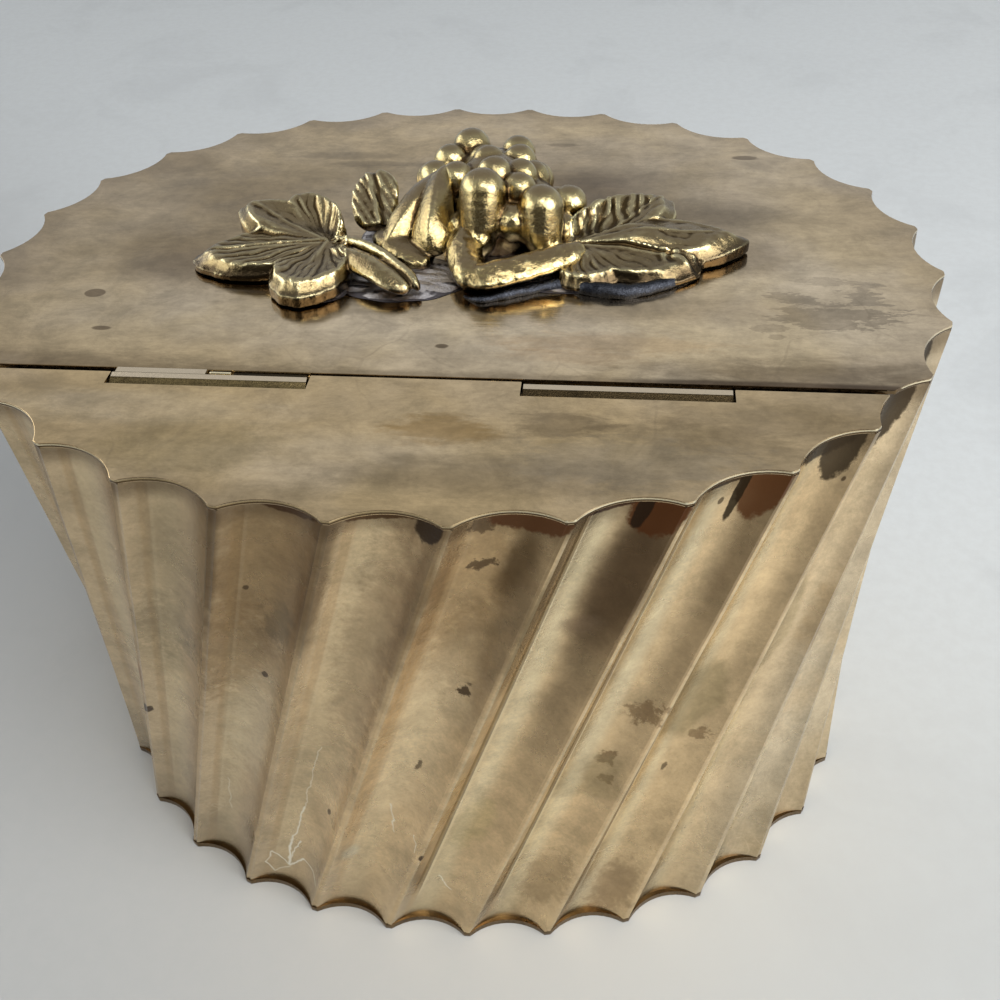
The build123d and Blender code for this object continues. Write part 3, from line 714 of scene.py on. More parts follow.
for side in ("left", "right"):
    for cad_node, (name, body, slot, rounding) in HINGE_PIECES.items():
        piece = bevelled_copy(f"{side}_{cad_node}", f"{side}_{name}", rounding)
        if cad_node == "hinge_knuckle":
            for vertex in piece.data.vertices:
                y, z = vertex.co.y / MM, vertex.co.z / MM
                if z > FILED_FROM and y > BARREL_REAR_Y - 0.35:
                    y -= (BARREL_REAR_Y - FLAT_REAR_Y) * falls(-y, -BARREL_REAR_Y - 0.1, -BARREL_REAR_Y + 0.35)
                if y > FLAT_REAR_Y:
                    z = min(z, TUBE_TOP - (y - FLAT_REAR_Y) * FLANK_SLOPE)
                vertex.co.y, vertex.co.z = y * MM, z * MM
            in_edit_mode(piece, NORMALS_CLEARED)
            smooth(piece, 25)
        if (side, cad_node) == ("right", "hinge_knuckle"):
            # the dark bar in the groove is painted shade
            only(bar(*FILL), bar(*WIRE), bar(*GROOVE_SHADE), piece)
            bpy.ops.object.join()
        for metal in (hinge_olive if side == "right" else hinge_dark, filed_flat, worn_edge, hinge_dark):
            piece.data.materials.append(metal)
        for face in piece.data.polygons:
            x, y, z = face.center
            beside = y < BESIDE_Y * MM and z > BESIDE_Z * MM
            on_wire = beside and WIRE[0][0] * MM - 0.0001 < x < WIRE[0][1] * MM + 0.0001
            in_groove_shade = beside and GROOVE_SHADE[0][0] * MM < x < GROOVE_SHADE[0][1] * MM
            filed = face.normal.z > 0.95 and z > FILED_FROM * MM
            face.material_index = 2 if on_wire else 1 if filed else 3 if in_groove_shade else 0
        rides(piece, body, f"{side}_{cad_node}")

# Cast brass, used by the six castings of the ornament: dark in the hollows where tarnish stays,
# olive on the fields, bright on every raised edge as rubbed wear and painted highlight, and dark
# low down with painted shade near the lid. Each casting has its own float attribute that says how
# hollow its surface is at each point.
LID_TOP, ORNAMENT_FOOT = 84.1, 84.35
LOW_SHADE = (0.0871, 0.0854)  # heights between which painted shade darkens the castings towards the lid
TOP_BROWN, FOOT_SHADE = (0.24, 0.175, 0.10), (0.060, 0.043, 0.024)


def kept_value(shader, name):
    """Value that the mesh carries at each point."""
    return node("Attribute", {}, tree=shader.id_data, out="Fac", attribute_name=name)


def cast_finish(name, field, edge, dark, roughness, edge_at, hollow_at, film):
    """Aged casting: bright on raised edges as rubbed wear and painted highlight, the field colour on even
    ground, dark in the hollows, and painted shade low down near the lid.
    """
    finish, shader, place = new_finish(name)
    patina, broad = tarnished(place, 170.0, 0.5), tarnished(place, 60.0, 0.5)["Cloud"]
    uneven = plus(kept_value(shader, "hollow"), times(minus(patina["Cloud"], 0.5), 0.05))
    colour = blended(broad, field, [0.8 * part for part in field])
    # raised edges made bright: rubbed wear and painted highlight
    colour = blended(ramped(uneven, edge_at + 0.02, edge_at - 0.15), colour, edge)
    # faces that look up are browner and rougher
    skyward = ramped(plus(kept_value(shader, "upward"), times(minus(broad, 0.5), 0.12)), 0.66, 0.90)
    colour = over(colour, TOP_BROWN, skyward, film)
    colour = blended(ramped(uneven, hollow_at, hollow_at + 0.13), colour, dark)
    height = plus(node("SeparateXYZ", {0: place}, out="Z"), times(patina["Cloud"], 0.0012))
    # painted shade low down, where the castings meet the lid
    colour = blended(ramped(height, *LOW_SHADE), colour, FOOT_SHADE)
    colour = over(colour, dark, patina["Grain"], 0.12)
    rough = plus(ramped(uneven, 0.4, 0.75, *roughness), times(skyward, 0.14))
    feed(shader, colour, rough, plus(mottled(place, 620.0, 3.0), times(patina["Grain"], 0.35)), 0.00009)
    return finish


def on_path(points, share):
    """Smooth path through rows of numbers: the row at that share of the way."""
    at = share * (len(points) - 1)
    first = min(int(at), len(points) - 2)
    t = at - first
    rows = [points[max(first - 1, 0)], *points[first:first + 2], points[min(first + 2, len(points) - 1)]]
    return [0.5 * (2 * b + (c - a) * t + (2 * a - 5 * b + 4 * c - d) * t ** 2
                   + (3 * b - a - 3 * c + d) * t ** 3) for a, b, c, d in zip(*rows)]


def shaped_grid(columns, rows, where):
    """Sheet of faces with its points laid by where(u, v), both shares from 0 to 1, in millimetres."""
    bpy.ops.object.select_all(action="DESELECT")
    bpy.ops.mesh.primitive_grid_add(x_subdivisions=columns, y_subdivisions=rows, size=1)
    sheet = bpy.context.object
    for vertex in sheet.data.vertices:
        vertex.co = Vector(where(vertex.co.x + 0.5, vertex.co.y + 0.5)) * MM
    return sheet


def limb(points, columns=20, rows=48, crease=1.0):
    """Closed limb through rows of x, y, height over the lid, half width, half thickness and roll.

    Its section is an ellipse at crease 1 and a diamond at crease 2.
    """
    def where(u, v):
        x, y, h, wide, thick, roll = on_path(points, v)
        ahead = Vector(on_path(points, min(v + 0.01, 1))[:3]) - Vector(on_path(points, max(v - 0.01, 0))[:3])
        ahead.normalize()
        side = ahead.cross(Vector((0, 0, 1))).normalized()
        upper = side.cross(ahead)
        turn, lean = 2 * math.pi * u, math.radians(roll)
        side, upper = (side * math.cos(lean) + upper * math.sin(lean),
                       upper * math.cos(lean) - side * math.sin(lean))
        closing = math.sqrt(max(1 - abs(2 * v - 1) ** 6, 0))
        out, up = (math.copysign(abs(part) ** crease, part) for part in (math.cos(turn), math.sin(turn)))
        return Vector((x, y, LID_TOP + h)) + closing * (side * wide * out + upper * thick * up)
    return shaped_grid(columns, rows, where)


def ball(x, y, h, radius, tall=1.0):
    """Grape: a sphere, or one drawn out downwards."""
    bpy.ops.object.select_all(action="DESELECT")
    bpy.ops.mesh.primitive_uv_sphere_add(segments=28, ring_count=18, radius=radius * MM)
    sphere = bpy.context.object
    for vertex in sphere.data.vertices:
        if vertex.co.z < 0:
            vertex.co.z *= tall
        vertex.co += Vector((x, y, LID_TOP + h)) * MM
    return sphere


def ripples(x, y, z, grain, roughness=0.7):
    """Fractal noise with ripples that many millimetres across."""
    return noise.fractal(Vector((x, y, z)) / grain, roughness, 2.0, 3)


def mark_hollows(piece, rounds, scale):
    """Float attributes: hollow is about 0.5 on even ground, above it in hollows and below it on raised
    edges; upward says how far the surface faces the sky."""
    mesh = piece.data
    near = [[] for _ in mesh.vertices]
    for edge in mesh.edges:
        a, b = edge.vertices
        near[a].append(b)
        near[b].append(a)
    flat = [vertex.co.copy() for vertex in mesh.vertices]
    for _ in range(rounds):
        flat = [sum((flat[other] for other in others), Vector()) / len(others) if others else flat[at]
                for at, others in enumerate(near)]
    for name in ("hollow", "upward"):
        mesh.attributes.new(name, "FLOAT", "POINT")
    for vertex, level in zip(mesh.vertices, flat):
        deep = (level - vertex.co).dot(vertex.normal) / MM
        mesh.attributes["hollow"].data[vertex.index].value = min(max(0.5 + deep * scale, 0), 1)
        mesh.attributes["upward"].data[vertex.index].value = max(vertex.normal.z, 0)


def casting(name, cad_node, metal, shells, voxel, evened, cut, skin, hollows):
    """One closed casting out of shells that run into each other.

    cut(x, y, z) is the relief on its upper side, in millimetres along the normal; skin is the
    height and grain of its sand-cast roughness; hollows are the rounds and scale of its marking.
    """
    only(*shells)
    if len(shells) > 1:
        bpy.ops.object.join()
    piece = new_piece(name)
    in_edit_mode(piece, MERGED, FACING_OUT)
    with_modifier(piece, "REMESH", mode="VOXEL", voxel_size=voxel * MM)
    with_modifier(piece, "SMOOTH", factor=0.5, iterations=evened)
    moved = []
    for vertex in piece.data.vertices:
        x, y, z = vertex.co / MM
        up = min(max((vertex.normal.z - 0.15) / 0.45, 0), 1)
        rough = skin[0] * ripples(x, y, z, skin[1], 0.8)
        moved.append(vertex.co + vertex.normal * (cut(x, y, z) * up + rough) * MM)
    for vertex, place in zip(piece.data.vertices, moved):
        vertex.co = place
        vertex.co.z = max(min(vertex.co.z, cad_box[1][2]), ORNAMENT_FOOT * MM - 0.0001)
    mark_hollows(piece, *hollows)
    piece.data.materials.clear()
    piece.data.materials.append(metal)
    smooth(piece, 60)
    rides(piece, "lid", cad_node)


grape_brass = cast_finish("grape_brass", (0.32, 0.25, 0.12), (0.52, 0.44, 0.23), (0.085, 0.052, 0.022),
                          (0.06, 0.24), 0.42, 0.53, 0.85)
leaf_brass = cast_finish("leaf_brass", (0.25, 0.195, 0.10), (0.66, 0.58, 0.34), (0.065, 0.042, 0.018),
                         (0.08, 0.28), 0.44, 0.505, 0.60)

# The bunch is one casting: grapes heaped over a core, the two at the stem end long and large,
# with rough lumps below them where the mould was not cleaned up.
# Each ball is its middle as x, y and height over the lid, its radius, and how far it is drawn out.
GRAPES = (
    (0, -23.3, 5.8, 2.8), (-6.8, -23.0, 5.2, 2.5), (2.6, -19.8, 5.2, 2.5), (-3.4, -15.2, 7.2, 2.4),
    (-4.9, -8.8, 8.4, 2.5), (4.2, -15.2, 4.8, 2.5), (-9.6, -13.9, 5.5, 2.5), (-3.9, -3.6, 8.4, 3.15),
    (-3.9, -3.2, 7.5, 3.15), (-3.85, -2.8, 6.6, 3.1), (-3.8, -2.4, 5.7, 3.0), (-3.8, -2.0, 4.8, 2.9),
    (-8.4, -6.4, 7.4, 2.4), (-11.6, -2.6, 6.8, 3.0), (-11.65, -2.3, 6.0, 3.0), (-11.7, -2.0, 5.2, 2.95),
    (-11.75, -1.7, 4.4, 2.85), (-11.8, -1.4, 3.6, 2.7), (-14.9, -9.6, 4.0, 2.5), (-2.3, -19.3, 5.2, 2.6),
    (-7.4, -18.6, 5.8, 2.5), (-3.4, -26.4, 1.8, 2.3), (-9.8, -18.6, 3.2, 2.5), (2.8, -25.2, 2.5, 2.3),
    (-13.0, -12.6, 2.4, 2.4), (0.6, -11.0, 6.6, 2.5), (5.8, -20.6, 2.2, 2.3), (-8.2, -10.8, 7.3, 2.4),
)
LUMPS = (
    (-3.4, -0.6, 3.2, 2.2, 1.4), (-7.8, -2.2, 5.0, 2.3, 1.2), (-12.4, -0.6, 2.4, 2.2, 1.3),
    (-7.6, -4.6, 3.4, 3.0, 1.2), (-1.4, -3.4, 3.2, 2.6, 1.4), (-14.2, -4.6, 2.4, 2.6, 1.2),
    (-0.4, -8.5, 3.0, 3.2, 1.2), (-9.8, -1.6, 3.8, 1.6, 1.0),
)
CORES = (
    (-5.0, -7.5, 2.2, 6.4), (-4.2, -12.8, 2.0, 6.9), (-3.2, -18.5, 0.8, 6.5), (-3.0, -22.6, 0.8, 5.0),
    (-9.0, -9.0, 1.5, 5.8), (2.0, -16.5, 0.8, 4.8),
)


def lump_roughness(x, y, z):
    """Coarse pitting on the lumps near the stem, none on the grapes."""
    low_front = falls(z - LID_TOP, 5.5, 7.5) * falls(-y, 1.5, 4.5)
    return 0.28 * low_front * ripples(x, y, z, 1.1)


casting("grapes", "grape_bunch", grape_brass, [ball(*sizes) for sizes in GRAPES + LUMPS + CORES], 0.26, 6,
        lump_roughness, (0.05, 2.6), (12, 1.6))

# Two vine leaves, cast thick, lie either side of the bunch. Their lobes curl, their rims are
# raised and bright, as rubbed wear and painted highlight, ribs fan out from the heart, and the
# sides are filed upright.
HEART_RADIUS, EDGE_ROLL = 3.4, 1.35
FLANK_LOBE, FRONT_LOBE = -137, 171  # the lobes of the left leaf that have barbs, by their angles
RIM_HEIGHT, RIB_HEIGHT, VEIN_HEIGHT = 0.24, 0.19, 0.20
TOP_SHARE, FLANK_SHARE, UNDER_SHARE = 0.8, 0.92, 0.08  # where top and side end; the underside's share
UNDERSIDE = 0.25
# The heart, then the lobes: angle, length, width, height of its middle and of its tip, ribs in
# the fan, their strength, how far its vein is doubled, and how pointed it is.
RIGHT_LEAF = ((16.8, 0.0, 2.9), (
    (8.5, 18.4, 11.0, 2.9, 2.2, 34, 1.0, 0.35, 0.05),
    (-34, 17.0, 7.8, 3.2, 3.9, 22, 0.35, 0.0, 0.0),
    (-57, 13.2, 8.6, 2.4, 4.4, 30, 0.6, 0.0, 0.0),
    (80, 13.0, 10.4, 2.7, 2.9, 24, 0.85, 0.0, 0.0)))
LEFT_LEAF = ((-16.2, -0.8, 2.9), (
    (-137, 17.4, 10.8, 2.6, 4.2, 20, 0.5, 0.0, 0.05),
    (188.5, 22.8, 10.2, 4.5, 3.0, 18, 0.5, 0.0, 0.06),
    (171, 16.8, 11.0, 2.9, 2.0, 20, 0.4, 0.45, 0.0),
    (118, 8.6, 10.0, 2.9, 2.0, 24, 0.7, 0.0, 0.0)))


def lobe_reach(turn, angle, length, width, point):
    """How far a lobe goes from the heart in that direction: an ellipse drawn from the heart to its tip."""
    away = math.remainder(turn - math.radians(angle), 2 * math.pi)
    if abs(away) >= math.pi / 2:
        return 0.0
    long, wide = length / 2, width / 2
    drawn_in = 1 - point * (1 - math.exp(-abs(away) / 0.12))
    squeezed = (math.cos(away) / long) ** 2 + (math.sin(away) / wide) ** 2
    return drawn_in * (2 * math.cos(away) / long) / squeezed


def leaf_reach(turn, lobes):
    """Edge of the leaf in that direction, with small teeth, and how much each lobe has a say there."""
    reaches = [lobe_reach(turn, *lobe[:3], lobe[8]) for lobe in lobes]
    widest = max(max(reaches), HEART_RADIUS)
    says = [(reach / widest) ** 9 for reach in reaches]
    wander = 0.035 * noise.noise(Vector((3 * math.cos(turn), 3 * math.sin(turn), lobes[0][0])))
    return widest * (1 + wander + 0.008 * math.sin(turn * 31)), says, sum(says) + 1e-9


def leaf_shell(heart, lobes):
    """Closed shell of one leaf: domed top, upright side and flat underside."""
    x, y, centre_height = heart

    def where(u, v):
        turn = 2 * math.pi * u
        edge, says, total = leaf_reach(turn, lobes)
        middle, tip = (sum(say * lobe[at] for say, lobe in zip(says, lobes)) / total for at in (3, 4))
        if max(says) < 1e-3:
            middle, tip = centre_height, centre_height - 0.6
        share = min(v / TOP_SHARE, 1)
        dome = (centre_height, (centre_height + middle) / 2, middle, middle * 0.5 + tip * 0.5 + 0.1, tip + 0.35,
                tip + 0.2)
        top = on_path([(height,) for height in dome], share)[0]
        top -= EDGE_ROLL * (1 - falls(share, 0.80, 1.0)) ** 1.6
        out = edge * (share if v < FLANK_SHARE else (1 - v) / UNDER_SHARE)
        height = top if v <= TOP_SHARE else UNDERSIDE
        return x + out * math.cos(turn), y + out * math.sin(turn), LID_TOP + height
    return shaped_grid(260, 50, where)


def leaf_relief(heart, lobes):
    """Height of the rim, ribs and veins over the domed top."""
    def cut(x, y, z):
        away = Vector((x - heart[0], y - heart[1]))
        turn = math.atan2(away.y, away.x)
        edge, says, total = leaf_reach(turn, lobes)
        share = away.length / edge
        angle, *_, ribs_in_fan, strength, doubled, point = lobes[says.index(max(says))]
        off = math.remainder(turn - math.radians(angle), 2 * math.pi)
        across = away.length * math.sin(off)
        patchy = 0.6 + 0.9 * noise.noise(Vector((x, y, 3)) / 2.2) ** 2
        patchy += 0.3 * noise.noise(Vector((x, y, 5)) / 1.1)
        rim = RIM_HEIGHT * patchy * math.exp(-((share - 0.85) / 0.05) ** 2)
        inner = (1 - falls(share, 0.14, 0.32)) * falls(share, 0.80, 0.90) * strength
        bend = 1.3 * noise.noise(Vector((x, y, 9)) / 3.0)
        pillow = 1 - abs(math.cos(ribs_in_fan * off / 2 + bend)) ** 10
        outer = 1 - abs(math.cos(ribs_in_fan * off + 2 * bend)) ** 10
        split = 1 - falls(share, 0.4, 0.55)
        ribs = RIB_HEIGHT * (pillow - 1 + 0.6 * split * (outer - 1)) * inner
        barbs = 0.0
        if angle == FLANK_LOBE:
            barbs = 0.3 * math.cos(2 * math.pi * x / 1.55 + 3 * bend) * inner * falls(-across, -0.5, 1.5)
        if angle == FRONT_LOBE:
            notches = math.cos(2 * math.pi * (x + 0.4 * y) / 2.1 + 4 * bend)
            barbs = 0.22 * notches * (1 - falls(across, -2.4, -0.8)) * (1 - falls(share, 0.6, 0.75))
        vein = VEIN_HEIGHT * math.exp(-((abs(across) - doubled) / 0.3) ** 2) * falls(share, 0.75, 0.95)
        vein -= 0.25 * math.exp(-(across / 0.3) ** 2) * falls(share, 0.7, 0.9) * (doubled > 0)
        return rim + ribs + barbs + vein
    return cut


RIGHT_STALK = (
    (16.2, 1.6, 2.0, 1.2, 1.2, 0), (14.2, 2.8, 2.2, 1.5, 1.4, 0), (11.8, 4.6, 2.3, 1.8, 1.6, 0),
    (9.0, 6.7, 2.2, 1.9, 1.6, 0), (6.6, 8.3, 1.7, 1.9, 1.4, 0), (4.4, 9.4, 1.0, 1.6, 1.0, 0),
)
RIGHT_STALK_EDGE = (
    (16.0, -0.6, 3.0, 0.6, 0.6, 0), (12.6, 0.9, 3.1, 0.6, 0.8, 0), (9.4, 3.0, 3.0, 0.65, 0.9, 0),
    (6.6, 5.4, 2.5, 0.65, 0.9, 0), (4.4, 7.4, 1.8, 0.7, 0.9, 0), (3.2, 8.9, 0.9, 0.6, 0.6, 0),
)
right_shells = [leaf_shell(*RIGHT_LEAF), limb(RIGHT_STALK, 24, 48, 1.4), limb(RIGHT_STALK_EDGE)]
casting("right_vine_leaf", "right_leaf", leaf_brass, right_shells, 0.21, 2, leaf_relief(*RIGHT_LEAF),
        (0.05, 1.6), (6, 2.6))
casting("left_vine_leaf", "left_leaf", leaf_brass, [leaf_shell(*LEFT_LEAF)], 0.21, 2, leaf_relief(*LEFT_LEAF),
        (0.05, 1.6), (6, 2.6))

# The stem comes down from the bunch to a blunt foot and turns out to the left leaf; daylight
# shows between it and the bunch.
STEM_DOWN = (
    (-2.2, -2.4, 3.8, 2.4, 1.9, 0), (-1.8, 0.6, 3.0, 2.5, 2.0, 0), (-2.2, 3.6, 2.3, 2.4, 2.0, 0),
    (-3.2, 6.2, 1.8, 2.5, 2.0, 0), (-4.2, 7.8, 1.2, 2.4, 1.5, 0),
)
STEM_OUT = (
    (-2.8, 7.0, 1.5, 2.3, 1.7, 0), (-5.4, 7.0, 1.9, 2.6, 2.0, 0), (-8.6, 5.8, 2.2, 2.6, 2.0, 0),
    (-12.0, 4.2, 2.5, 2.5, 1.9, 0), (-15.0, 2.4, 2.7, 2.3, 1.7, 0), (-17.4, 0.6, 2.8, 1.8, 1.4, 0),
)
casting("vine_stem_casting", "vine_stem", grape_brass,
        [limb(STEM_DOWN, 24, 48, 1.35), limb(STEM_OUT, 24, 48, 1.45)], 0.24, 5, lambda x, y, z: 0.0,
        (0.13, 1.8), (10, 1.8))

# A leaf folded along its length leans on the right side of the bunch. Its turned edge makes a
# second narrow ridge beside it, with a dark groove between the two.
FOLD = (
    (1.8, -12.0, 8.0, 0.9, 0.9, 0), (2.4, -9.6, 7.5, 1.5, 1.5, 0), (2.7, -7.0, 6.4, 2.1, 2.0, 0),
    (2.7, -4.2, 5.0, 2.6, 2.3, 0), (2.9, -1.6, 3.2, 2.9, 2.3, 0), (3.1, 0.8, 1.3, 2.8, 1.4, 0),
)
TURNED_EDGE = (
    (3.0, -12.4, 7.2, 0.9, 0.8, 0), (4.3, -9.6, 6.3, 1.7, 1.2, 12), (5.8, -6.6, 5.0, 2.1, 1.6, 18),
    (7.3, -4.0, 3.4, 2.1, 1.6, 15), (8.5, -1.8, 1.8, 1.8, 1.3, 0), (9.2, -0.6, 0.8, 1.4, 0.8, 0),
)
FOLD_FOOT = (
    (9.8, -5.6, 1.2, 1.8, 1.0, 0), (9.4, -3.6, 1.4, 2.2, 1.3, 0), (7.4, -1.4, 1.3, 2.4, 1.5, 0),
    (5.2, 0.6, 1.0, 2.4, 1.4, 0), (2.6, 1.6, 0.8, 2.0, 1.0, 0),
)
casting("folded_vine_leaf", "folded_leaf", grape_brass,
        [limb(FOLD, 28, 60, 1.55), limb(TURNED_EDGE, 24, 60, 1.6), limb(FOLD_FOOT)], 0.22, 3,
        lambda x, y, z: 0.25 * falls(z - LID_TOP, 0.8, 2.6) * ripples(x, y, z, 0.8), (0.05, 2.4), (10, 1.8))

# The smallest leaf stands up behind the folded one, hollow towards the back of the box. Fine ribs
# cross it, and its midrib is a groove beside a ridge.
SMALL = (
    (11.6, -6.6, 1.2, 2.4, 1.2, 0), (12.2, -9.0, 2.1, 3.0, 1.1, -8), (12.4, -11.6, 3.4, 3.3, 1.0, -8),
    (12.2, -13.8, 4.6, 2.9, 1.0, -6), (12.0, -15.6, 5.6, 1.6, 0.8, 0),
)
RIB_PITCH, MIDRIB_WIDTH = 1.35, 0.4


def small_relief(x, y, z):
    """Ribs and midrib of the smallest leaf."""
    ribs = math.cos(2 * math.pi * (y * 0.8 + (x - 12.0) + 0.05 * (x - 12.0) ** 2) / RIB_PITCH)
    groove, ridge = (math.exp(-((x - middle + 0.35 * (y + 11)) / MIDRIB_WIDTH) ** 2)
                     for middle in (11.6, 12.6))
    return (0.05 + 0.05 * noise.noise(Vector((x, y, 2)) / 2.0)) * ribs - 0.3 * groove + 0.25 * ridge


casting("small_vine_leaf", "small_leaf", leaf_brass, [limb(SMALL, 32, 50)], 0.2, 2, small_relief,
        (0.08, 1.6), (5, 3.2))

# Lead-coloured soft solder holds the castings: a thin wrinkled puddle that shows between the right
# stalk and the stem foot, and a thick dark bead along the front of the stem and of the left leaf.
# A puddle is its middle, half sizes and height.
PUDDLES = (
    (6.2, 4.6, 9.0, 6.0, 0.34), (-17.5, 1.2, 15.0, 6.4, 0.3), (-5.0, -12.5, 7.8, 12.6, 0.28),
    (9.0, -7.0, 4.8, 5.8, 0.28), (24.5, 1.2, 9.6, 5.2, 0.28), (17.6, 6.2, 5.3, 5.6, 0.28),
)
BEAD = (
    (-2.4, 8.6, 0.0, 0.4, 0.3, 0), (-4.4, 9.6, 0.2, 0.6, 0.5, 0), (-7.0, 8.9, 0.3, 0.7, 0.6, 0),
    (-9.6, 7.6, 0.3, 0.8, 0.7, 0), (-12.6, 6.2, 0.3, 0.9, 0.7, 0), (-15.4, 5.6, 0.3, 1.0, 0.9, 0),
    (-17.8, 6.6, 0.4, 1.1, 1.1, 0), (-21.8, 7.4, 0.4, 1.1, 1.1, 0), (-25.0, 6.8, 0.4, 1.1, 1.0, 0),
    (-29.2, 4.4, 0.4, 1.0, 0.9, 0), (-31.8, 2.6, 0.2, 0.6, 0.5, 0),
)
PUDDLE_TOP, PUDDLE_SIDE = 0.9, 0.1  # shares of its sheet that make a puddle's top and its underside
BEAD_WANDER = 0.15


def puddle(x, y, half_x, half_y, height):
    """Low closed disc with a wandering edge and a wrinkled top."""
    def where(u, v):
        turn = 2 * math.pi * u
        share = min(v / PUDDLE_TOP, 1)
        wander = 1 + 0.09 * noise.noise(Vector((2 * math.cos(turn), 2 * math.sin(turn), x)))
        out = (share if v <= PUDDLE_TOP else (1 - v) / PUDDLE_SIDE) * wander
        across, up = x + out * half_x * math.cos(turn), y + out * half_y * math.sin(turn)
        folds = 0.40 * abs(noise.noise(Vector((across * 0.3 + up * 0.2, up, 2)) * 0.62))
        folds += 0.03 * noise.noise(Vector((across, up, 4)) * 1.6)
        top = (height + folds) * (1 - share ** 6)
        return across, up, LID_TOP + (top if v <= PUDDLE_TOP else 0.0)
    return shaped_grid(120, 34, where)


soft_solder, shader, place = new_finish("soft_solder")
dull = tarnished(place, 150.0, 0.5)
colour = blended(dull["Cloud"], (0.72, 0.67, 0.66), (0.54, 0.50, 0.50))
colour = blended(ramped(kept_value(shader, "hollow"), 0.60, 0.72), colour, (0.12, 0.105, 0.11))
creases = effect(hairlines, {"Vector": place, "Size": 330.0, "Curl": 0.0035, "Cover": 1.0})["Mask"]
colour = over(over(colour, (0.07, 0.06, 0.06), creases, 0.7), (0.12, 0.12, 0.13), dull["Grain"], 0.2)
feed(shader, colour, ramped(dull["Cloud"], 0.0, 1.0, 0.28, 0.45), dull["Grain"], 0.00006, 0.7)
dark_solder = plain_finish("dark_solder", 220.0, 0.5, 1.0, (0.036, 0.039, 0.048), (0.012, 0.013, 0.017),
                           (0.22, 0.4), 0.00006, 0.6)
only(*[puddle(*sizes) for sizes in PUDDLES])
bpy.ops.object.join()
solder = new_piece("solder_puddle")
mark_hollows(solder, 3, 9.0)
bead = limb(BEAD, 18, 120)
for vertex in bead.data.vertices:
    spot = vertex.co / MM
    vertex.co.z = max(vertex.co.z + BEAD_WANDER * MM * noise.noise(spot / 1.3), LID_TOP * MM)
    vertex.co.y += BEAD_WANDER * MM * noise.noise(spot / 2.0 + Vector((7, 0, 0)))
bead.name = bead.data.name = "solder_bead"
for piece, metal in ((solder, soft_solder), (bead, dark_solder)):
    in_edit_mode(piece, MERGED, FACING_OUT)
    smooth(piece, 50)
    piece.data.materials.clear()
    piece.data.materials.append(metal)
    rides(piece, "lid", "ornament_solder")

# The stage: a pale floor with painted shadow towards the left of the view and towards the viewer,
# one large soft lamp at the right of the view, a small one above, and pale surroundings.
bpy.ops.object.select_all(action="DESELECT")
bpy.ops.mesh.primitive_plane_add(size=3.0, location=(0, 0, 0))
floor = new_piece("pale_floor")
floor_stone, shader, place = new_finish("pale_stone")
shader.inputs["Metallic"].default_value = 0.0
mottle = tarnished(place, 22.0, 0.5)
on_floor = node("SeparateXYZ", {0: place}).node.outputs
colour = over((0.585, 0.615, 0.63), (0.50, 0.525, 0.54), mottle["Cloud"], 0.5)
# painted shadow: the floor darkens towards the left of the view and towards the viewer
colour = over(colour, (0.29, 0.29, 0.29), ramped(plus(on_floor["X"], on_floor["Y"]), -0.10, 0.16), 0.66)
colour = over(colour, (0.39, 0.405, 0.405), ramped(on_floor["Y"], -0.06, 0.05), 0.45)
colour = over(colour, (0.45, 0.455, 0.46), mottle["Grain"], 0.2)
shader.id_data.links.new(colour, shader.inputs["Base Color"])
shader.inputs["Roughness"].default_value = 0.55
floor.data.materials.append(floor_stone)

LAMPS = {  # place, what it points at, size, power, colour
    "window_lamp": ((-0.80, 0.52, 0.64), (-0.05, 0.02, 0.02), (0.95, 0.75), 16.5, (1.0, 0.985, 0.96)),
    "overhead_lamp": ((-0.12, 0.50, 0.86), (0, 0, 0.08), (0.34, 0.22), 2.2, (1.0, 0.985, 0.95)),
}
for name, (position, target, size, power, colour) in LAMPS.items():
    lamp = bpy.data.lights.new(name, "AREA")
    lamp.shape, lamp.size, lamp.size_y = "RECTANGLE", *size
    lamp.energy, lamp.color = power, colour
    holder = bpy.data.objects.new(name, lamp)
    holder.location = position
    holder.rotation_euler = (Vector(target) - Vector(position)).to_track_quat("-Z", "Y").to_euler()
    bpy.context.scene.collection.objects.link(holder)

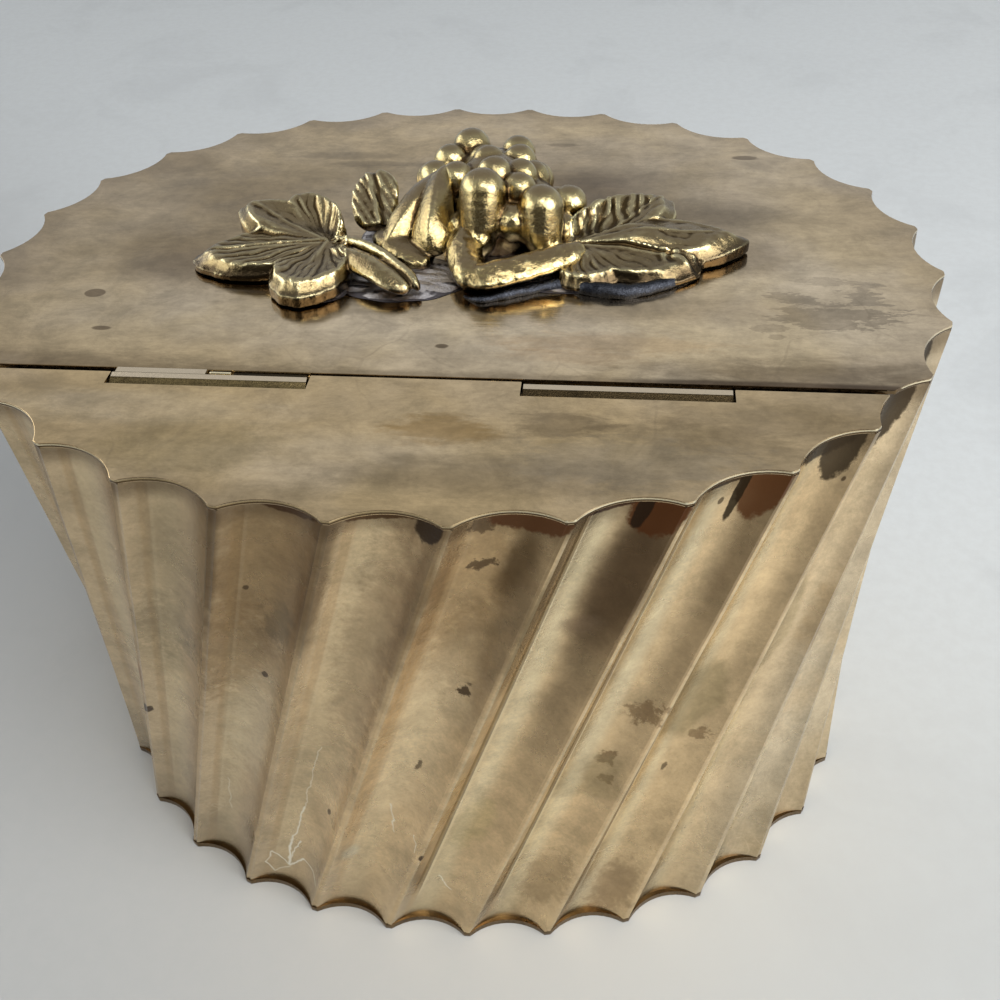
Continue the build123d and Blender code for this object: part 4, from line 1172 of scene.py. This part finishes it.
# pale cards behind the viewer, seen only in reflections: sideways over forward, height, brightness
CARDS = (((0.8, 1.1, 3.0, 3.6), (0.12, 0.2, 0.60, 0.70), (3.6, 3.6, 3.45)),
         ((0.04, 0.1, 0.28, 0.36), (0.50, 0.56, 0.78, 0.84), (1.6, 1.6, 1.5)))
SIDE_CARD = ((0.68, 0.76, 1.0, 1.05), (0.12, 0.20, 0.58, 0.66), (4.2, 4.2, 4.0))
BACKDROP, NEAR_SIDE = (0.68, 0.70, 0.72), (0.16, 0.15, 0.14)
room = bpy.data.worlds.new("pale_room")
bpy.context.scene.world = room
room.use_nodes = True
tree, background = room.node_tree, room.node_tree.nodes["Background"]
sight = node("LightPath", {}, tree=tree).node.outputs
towards = node("SeparateXYZ", {0: node("TexCoord", {}, tree=tree, out="Generated")}).node.outputs
near_side = times(ramped(towards["Y"], -0.1, 0.6), ramped(towards["Z"], 0.95, 0.4))
shown = blended(near_side, BACKDROP, NEAR_SIDE)
sideways = maths("DIVIDE", towards["X"], maths("MAXIMUM", towards["Y"], 0.01))
for card, level, brightness in CARDS:
    there = times(times(band(sideways, *card), band(towards["Z"], *level)), ramped(towards["Y"], 0.02, 0.1))
    shown = over(shown, brightness, there, sight["Is Glossy Ray"])
across, level, brightness = SIDE_CARD
shown = over(shown, brightness, times(band(towards["X"], *across), band(towards["Z"], *level)),
             sight["Is Glossy Ray"])
shown = blended(sight["Is Camera Ray"], shown, BACKDROP)
tree.links.new(shown, background.inputs["Color"])
tree.links.new(ramped(sight["Is Glossy Ray"], 0.0, 1.0, 0.62, 0.85), background.inputs["Strength"])

camera = bpy.data.cameras.new("photo_camera")
camera.sensor_width = 36.0
camera.lens = 40.506
camera.clip_start = 0.005
holder = bpy.data.objects.new("photo_camera", camera)
holder.location = (-0.0219157, 0.1326972, 0.1583915)
holder.rotation_euler = tuple(math.radians(turn) for turn in (49.03977, 1.893846, -174.31307))
bpy.context.scene.collection.objects.link(holder)
bpy.context.scene.camera = holder
bpy.context.scene.view_settings.view_transform = "Standard"
